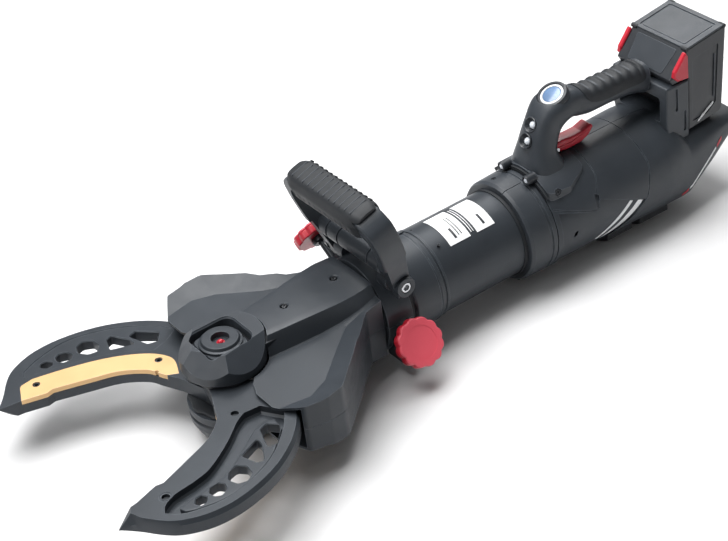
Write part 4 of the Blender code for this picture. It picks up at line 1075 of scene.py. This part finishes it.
# ---- rear handle ----
HANDLE_PATH = [  # x, height, half width, half depth, lean
    (426, 45, 33, 27, 90),
    (422, 64, 29, 24, 90),
    (422, 82, 23, 18, 80),
    (432, 106, 20, 18, 66),
    (448, 121, 22.5, 20, 44),
    (470, 119, 18, 18.5, 10),
    (490, 113, 16.5, 16, 0),
    (520, 112, 16.5, 15.5, -2),
    (550, 110, 16.5, 16, -5),
    (573, 106, 19, 18, -8),
]
HANDLE_POWER = 2.7
WAVE_START, WAVE_END, WAVE_LENGTH, WAVE_HEIGHT = 486, 562, 11.8, 1.1
LAMP_AXIS = (-0.9, 0, 0.43)
LAMPS = {"upper": (415.2, 0, 112.5), "lower": (406.5, 0, 96)}
DISPLAY_AXIS = Vector((-0.42, 0, 0.91)).normalized()
DISPLAY_SEAT = Vector((447, 0, 137)) - 8 * DISPLAY_AXIS


def handle_ring(x, z, half_width, half_depth, lean):
    """A cross-section of the handle, square to a path that leans by so many degrees."""
    a = radians(lean)
    ring = power_ring(half_width, half_depth, HANDLE_POWER, 56)
    return [(x - sin(a) * d, y, z + cos(a) * d) for y, d in ring]


def build_rear_handle():
    """The handle on its saddle, with its screws, pad and display."""
    line = smooth(HANDLE_PATH, 5)
    form = skin([handle_ring(*station) for station in line])
    saddle = turned([(60.6, 0), (63.4, 58.5), (66.8, 58.5), (68, 25), (67.2, 0)][::-1], 128)
    saddle = common(moved(saddle, along_x(397.5)), plate(rounded([(397.5, -45), (427, -47), (456, -36),
        (456, 36), (427, 47), (397.5, 45)], 8, 5), 30, 80))
    handle = fused(form, saddle)
    handle = carved(handle, block((434, -10.5, 62), (490, 10.5, 90.5)), moved(rod(60, -200, 200, steps=96),
        along_x(400)), moved(rod(17.2, -1, 50, steps=64), facing(DISPLAY_SEAT, DISPLAY_AXIS)))
    for centre in LAMPS.values():
        handle = carved(handle, moved(rod(8.8, -4.2, 20, steps=40), facing(centre, LAMP_AXIS)))
    for side in (1, -1):
        spot = facing((410.5, side * 44.5, 47.5), (0, side * 0.68, 0.73))
        handle = carved(handle, moved(rod(4.2, 0.2, 20), spot))
        show(f"saddle_screw_{'far' if side > 0 else 'near'}", moved(carved(rod(3.6, -4, 1.8, 0.4),
            rod(1.7, 0.5, 10, steps=6)), spot), "dark_steel")
    show("handle_shell", handle, "anthracite", "rear_handle", angle=36)
    build_soft_grip(form)
    build_display()


def build_lamps():
    """Two lamps in the handle's front and two small ones in pods at its foot."""
    for name, centre in LAMPS.items():
        place = facing(centre, LAMP_AXIS)
        cup = turned([(4.4, -4), (5.2, -3), (7.2, 0.6), (8, 1.2), (8.6, 0.6), (8.6, -4.1), (4.4, -4.1)], 40)
        show(f"lamp_cup_{name}", moved(cup, place), "black_plastic")
        lens = turned([(0, -0.4), (2, -0.8), (3.6, -1.8), (4.2, -3), (4.2, -4.2), (0, -4.2)], 40)
        show(f"lamp_lens_{name}", moved(lens, place), "lamp_lens", f"spot_lamp_{name}")
    for name, side in SIDES:
        place = facing((387, side * 20.5, 63), (-1, 0, 0))
        pod = turned([(5.8, 0), (5, 1.2), (4, 1.2), (4, -3), (5.8, -12)][::-1], 32)
        show(f"foot_lamp_pod_{name}", moved(pod, place), "black_plastic")
        lens = turned([(0, 1), (2.6, 0.6), (3.9, -0.8), (3.9, -6), (0, -6)], 32)
        show(f"foot_lamp_lens_{name}", moved(lens, place), "lamp_lens")


def build_trigger():
    """The split lever, and the seal in front of the saddle."""
    show("saddle_seal", band_patch(395.2, 397.4, -44, 44, 60.4, 64.5, 40), "black_rubber")
    outline = rounded([(436.5, 70), (440, 79), (452, 80), (464, 78.2), (480, 78), (493.5, 82), (497, 78.5),
        (490, 70), (478, 65.2), (456, 65)], 3, 5)
    blade = side_plate(outline, 8.8, 2.4, steps=3)
    split = side_plate(strip([(442, 74), (464, 72.5), (490, 77)], 0.9), 20)
    core = block((430, -8, 50), (510, 8, 100))
    blade = carved(blade, carved(split, core), moved(rod(2.1, -30, 30), facing((440, 0, 74.5), (0, 1, 0))))
    show("trigger_lever", blade, "red_plastic", "trigger", body="trigger")


def build_soft_grip(form):
    """A ribbed pad over the top of the grip."""
    line = [station for station in smooth(HANDLE_PATH, 24) if 480 <= station[0] <= 568]
    rings = []
    for x, z, half_width, half_depth, lean in line:
        phase = (x - WAVE_START) / WAVE_LENGTH
        wave = WAVE_HEIGHT * (cos(2 * pi * phase) if WAVE_START < x < WAVE_END else 1)
        ease = min(1, (x - 479.5) / 5, (569 - x) / 5)
        ring = handle_ring(x, z, half_width, half_depth + 0.8 + wave * ease, lean)
        rings.append([(px, y * (1 + 0.05 * ease), pz) for px, y, pz in ring])
    region = smooth([(478.5, 135), (483, 122), (492, 114), (510, 110), (540, 109.5), (560, 109), (569, 115),
        (570.5, 135)], 4)
    pad = carved(common(skin(rings), side_plate(region, 40)), form)
    show("grip_pad", pad, "black_rubber", "soft_grip", angle=50)


def build_display():
    """A black rim round a white ring, with the blue button in its middle."""
    place = facing(DISPLAY_SEAT, DISPLAY_AXIS)
    rim = turned(rounded([(17.1, -1), (18.8, 4), (17.6, 8.5), (14.6, 9.2), (13.7, 7.8), (13.7, -1)],
        [0, 1, 1.6, 0.8, 0.4, 0], 4)[::-1], 72)
    show("display_rim", moved(rim, place), "black_plastic")
    ring = turned([(0, 0.4), (10.8, 0.4), (11, 8.2), (12.3, 8.5), (13.5, 7.8), (13.5, 0), (0, 0)], 72)
    show("display_ring", moved(ring, place), "white_label", "display_bezel")
    cap = turned([(0, 8.8), (6, 8.7), (9.8, 8.3), (10.5, 7.8), (10.5, 3.1), (0, 3.1)], 64)
    show("power_cap", moved(cap, place), "blue_display", "power_button", body="power_button")


# ---- battery ----
def build_dock():
    """The post that the battery slides onto, with grooves in its cheeks and a recess lined in black as
    painted shade.
    """
    outline = rounded([(573.5, 104), (573.5, 56), (578, 30), (607.6, 30), (607.6, 104)], [3, 10, 0, 0, 2], 4)
    dock = side_plate(outline, 44, 2.2)
    dock = carved(dock, block((560, -33, 58), (602, 33, 89), 3))
    for side in (1, -1):
        low, high = sorted((side * 41.8, side * 50))
        dock = carved(dock, block((587, low, 70), (590.5, high, 99), 1.2), block((599, low, 40),
            (603, high, 66), 1.2))
    show("dock_post", dock, "anthracite", "battery_dock")
    # A black liner at the back of the recess: painted shade.
    shade_liner = block((599, -32.6, 59.2), (601.8, 32.6, 88.4), 0.4)
    show("dock_recess_shade", shade_liner, "black_rubber")


def build_battery():
    """The case with shallow fields in its sides and ribs behind."""
    outline = rounded([(608.2, 36.2), (656, 40), (660, 44), (666, 144), (663, 148), (606, 141), (580, 112),
        (584, 104.6), (608.2, 104.6)], 1.6, 3)
    case = side_plate(outline, 42.8, 2.2)
    field = rounded([(614, 45), (637, 47), (650, 56), (654.5, 130), (615, 125)], 3, 3)
    for side in (1, -1):
        case = carved(case, side_plate(field, 1.4, middle=side * 43))
    ribs = []
    for i in range(5):
        z = 52 + 13.5 * i
        x = 660 + 0.06 * (z - 44)
        ribs.append(block((x - 4, -35, z), (x + 2.2, 35, z + 7), 1.2))
    case = fused(case, *ribs)
    show("battery_case", case, "black_plastic", "battery_pack", body="battery")


def build_battery_lid():
    """A framed lid on top and the brow in front of it."""
    slope = Vector((57, 0, 7)).normalized()
    place = framed((634.5, 0, 144.6), slope, Vector((0, 1, 0)))
    lid = plate(pane(-29.5, -43.2, 29.5, 43.2, 3, 4), -0.6, 1.6, 0.6)
    inset = plate(pane(-25.5, -36.5, 23.5, 36.5, 3, 4), 0.6, 10)
    raised = plate(pane(-23.5, -34, 21.5, 34, 3, 4), 0.4, 1.2, 0.4)
    show("battery_lid", moved(together(carved(lid, inset), raised), place), "anthracite", body="battery")
    face = at(593, 0, 126.5) @ Matrix.Rotation(radians(-48.1), 4, "Y")
    brow = plate(rounded([(-16.5, -27), (15, -31), (15, 31), (-16.5, 27)], 3, 4), -1, 0.7, 0.5)
    show("battery_brow", moved(brow, face), "anthracite", body="battery")


def build_battery_trim():
    """A pale line painted as the highlight on a panel edge and a ridge on each side, and soft rods at the
    corners of the lid.
    """
    lines = []
    for side in (1, -1):
        # The pale strip along the lower panel edge is a painted highlight.
        lines.append(side_plate(strip([(645.5, 57), (621.5, 42.5)], 1.4), 0.8, middle=side * 42.8))
        lines.append(side_plate(upright([(649, 118), (647, 64)], 1.2), 0.6, middle=side * 42.4))
    show("battery_edge_highlights", together(*lines[::2]), "white_label", body="battery")
    show("battery_ridges", together(*lines[1::2]), "anthracite", body="battery")
    ends = []
    for x, z in ((606.2, 140.8), (662.8, 147.6)):
        for side in (1, -1):
            ends.append(moved(rod(2.6, -4.5, 4.5, 0.8, 20), facing((x, side * 39.5, z), (0, 1, 0))))
    show("battery_corners", together(*ends), "black_rubber", body="battery")


def build_latches():
    """A red tab on each side of the battery's front."""
    for name, side in (("left", -1), ("right", 1)):
        outline = rounded([(601, 140.5), (605, 134.5), (605.4, 106.8), (589.2, 108.6), (583.2, 115),
            (584.6, 121.5)], 1.2, 3)
        latch = side_plate(outline, 3.2, 1.4, side * 43.6, steps=0)
        show(f"latch_{name}_tab", latch, "red_plastic", f"battery_latch_{name}", body=f"latch_{name}")


# ---- stage ----
def area_light(name, place, aim, size, power):
    """A soft rectangular light at a place, turned towards its aim."""
    light = bpy.data.lights.new(name, "AREA")
    light.shape = "RECTANGLE"
    light.size, light.size_y = size
    light.energy = power
    holder = bpy.data.objects.new(name, light)
    bpy.context.scene.collection.objects.link(holder)
    holder.location = place
    holder.rotation_mode = "QUATERNION"
    holder.rotation_quaternion = (Vector(aim) - Vector(place)).to_track_quat("-Z", "Y")


LIGHTS = [  # name, place, aim, width and height, watts
    ("key", (0.15, 0.45, 1.9), (0.25, 0.05, 0.05), (2.0, 1.4), 70.0),
    ("side", (-1.5, -0.1, 1.3), (0.1, 0.0, 0.05), (0.8, 0.6), 8.0),
    ("rear", (1.5, 0.9, 1.2), (0.4, 0.0, 0.1), (0.8, 0.6), 9.0),
]
WORLD_STRENGTH = 0.18
FLOOR_PLACE = (0.2, 0.0, -0.0002)
CAMERA_PLACE = (-0.7017, -1.3988, 1.2811)
CAMERA_FORWARD = (0.4347, 0.6895, -0.5793)
CAMERA_RIGHT = (0.7974, -0.5936, -0.1082)
CAMERA_SENSOR = 36.0
CAMERA_LENS = 95.8


def build_stage():
    """A pale floor, an even white surround and three soft lights."""
    work = bmesh.new()
    bmesh.ops.create_grid(work, x_segments=8, y_segments=8, size=6.0)
    mesh = mesh_of(work, "floor")
    floor = bpy.data.objects.new("floor", mesh)
    floor.location = FLOOR_PLACE
    bpy.context.scene.collection.objects.link(floor)
    mesh.materials.append(finish("floor_paper", (0.76, 0.76, 0.765), 0.8, mottle=0.01, vary=0.05))
    world = bpy.data.worlds.new("studio")
    bpy.context.scene.world = world
    world.use_nodes = True
    back = world.node_tree.nodes["Background"]
    back.inputs["Color"].default_value = (1.0, 1.0, 1.0, 1.0)
    back.inputs["Strength"].default_value = WORLD_STRENGTH
    for light in LIGHTS:
        area_light(*light)
    bpy.context.scene.view_settings.view_transform = "Standard"


def build_camera():
    """The camera where the photograph was taken from, facing along CAMERA_FORWARD."""
    data = bpy.data.cameras.new("camera")
    data.sensor_width = CAMERA_SENSOR
    data.lens = CAMERA_LENS
    camera = bpy.data.objects.new("camera", data)
    bpy.context.scene.collection.objects.link(camera)
    forward = Vector(CAMERA_FORWARD).normalized()
    right = Vector(CAMERA_RIGHT).normalized()
    turn = Matrix((right, right.cross(forward), -forward)).transposed().to_4x4()
    camera.matrix_world = Matrix.Translation(CAMERA_PLACE) @ turn
    bpy.context.scene.camera = camera


for side_name, turned_over in (("far", Matrix.Identity(4)), ("near", TURNED_OVER)):
    build_blade(side_name, f"blade_{side_name}", turned_over)
    build_insert(side_name, f"blade_{side_name}", turned_over)
for build in (
    build_nose, build_pivot, build_fork, build_guard, build_clamp, build_knobs, build_handle_arms,
    build_boss_bolts, build_grip, build_cross_bar, build_barrel, build_sleeve, build_label, build_collar,
    build_housing, build_stripes, build_pads, build_rear_handle, build_lamps, build_trigger, build_dock,
    build_battery, build_battery_lid, build_battery_trim, build_latches,
):
    build()
build_stage()
build_camera()
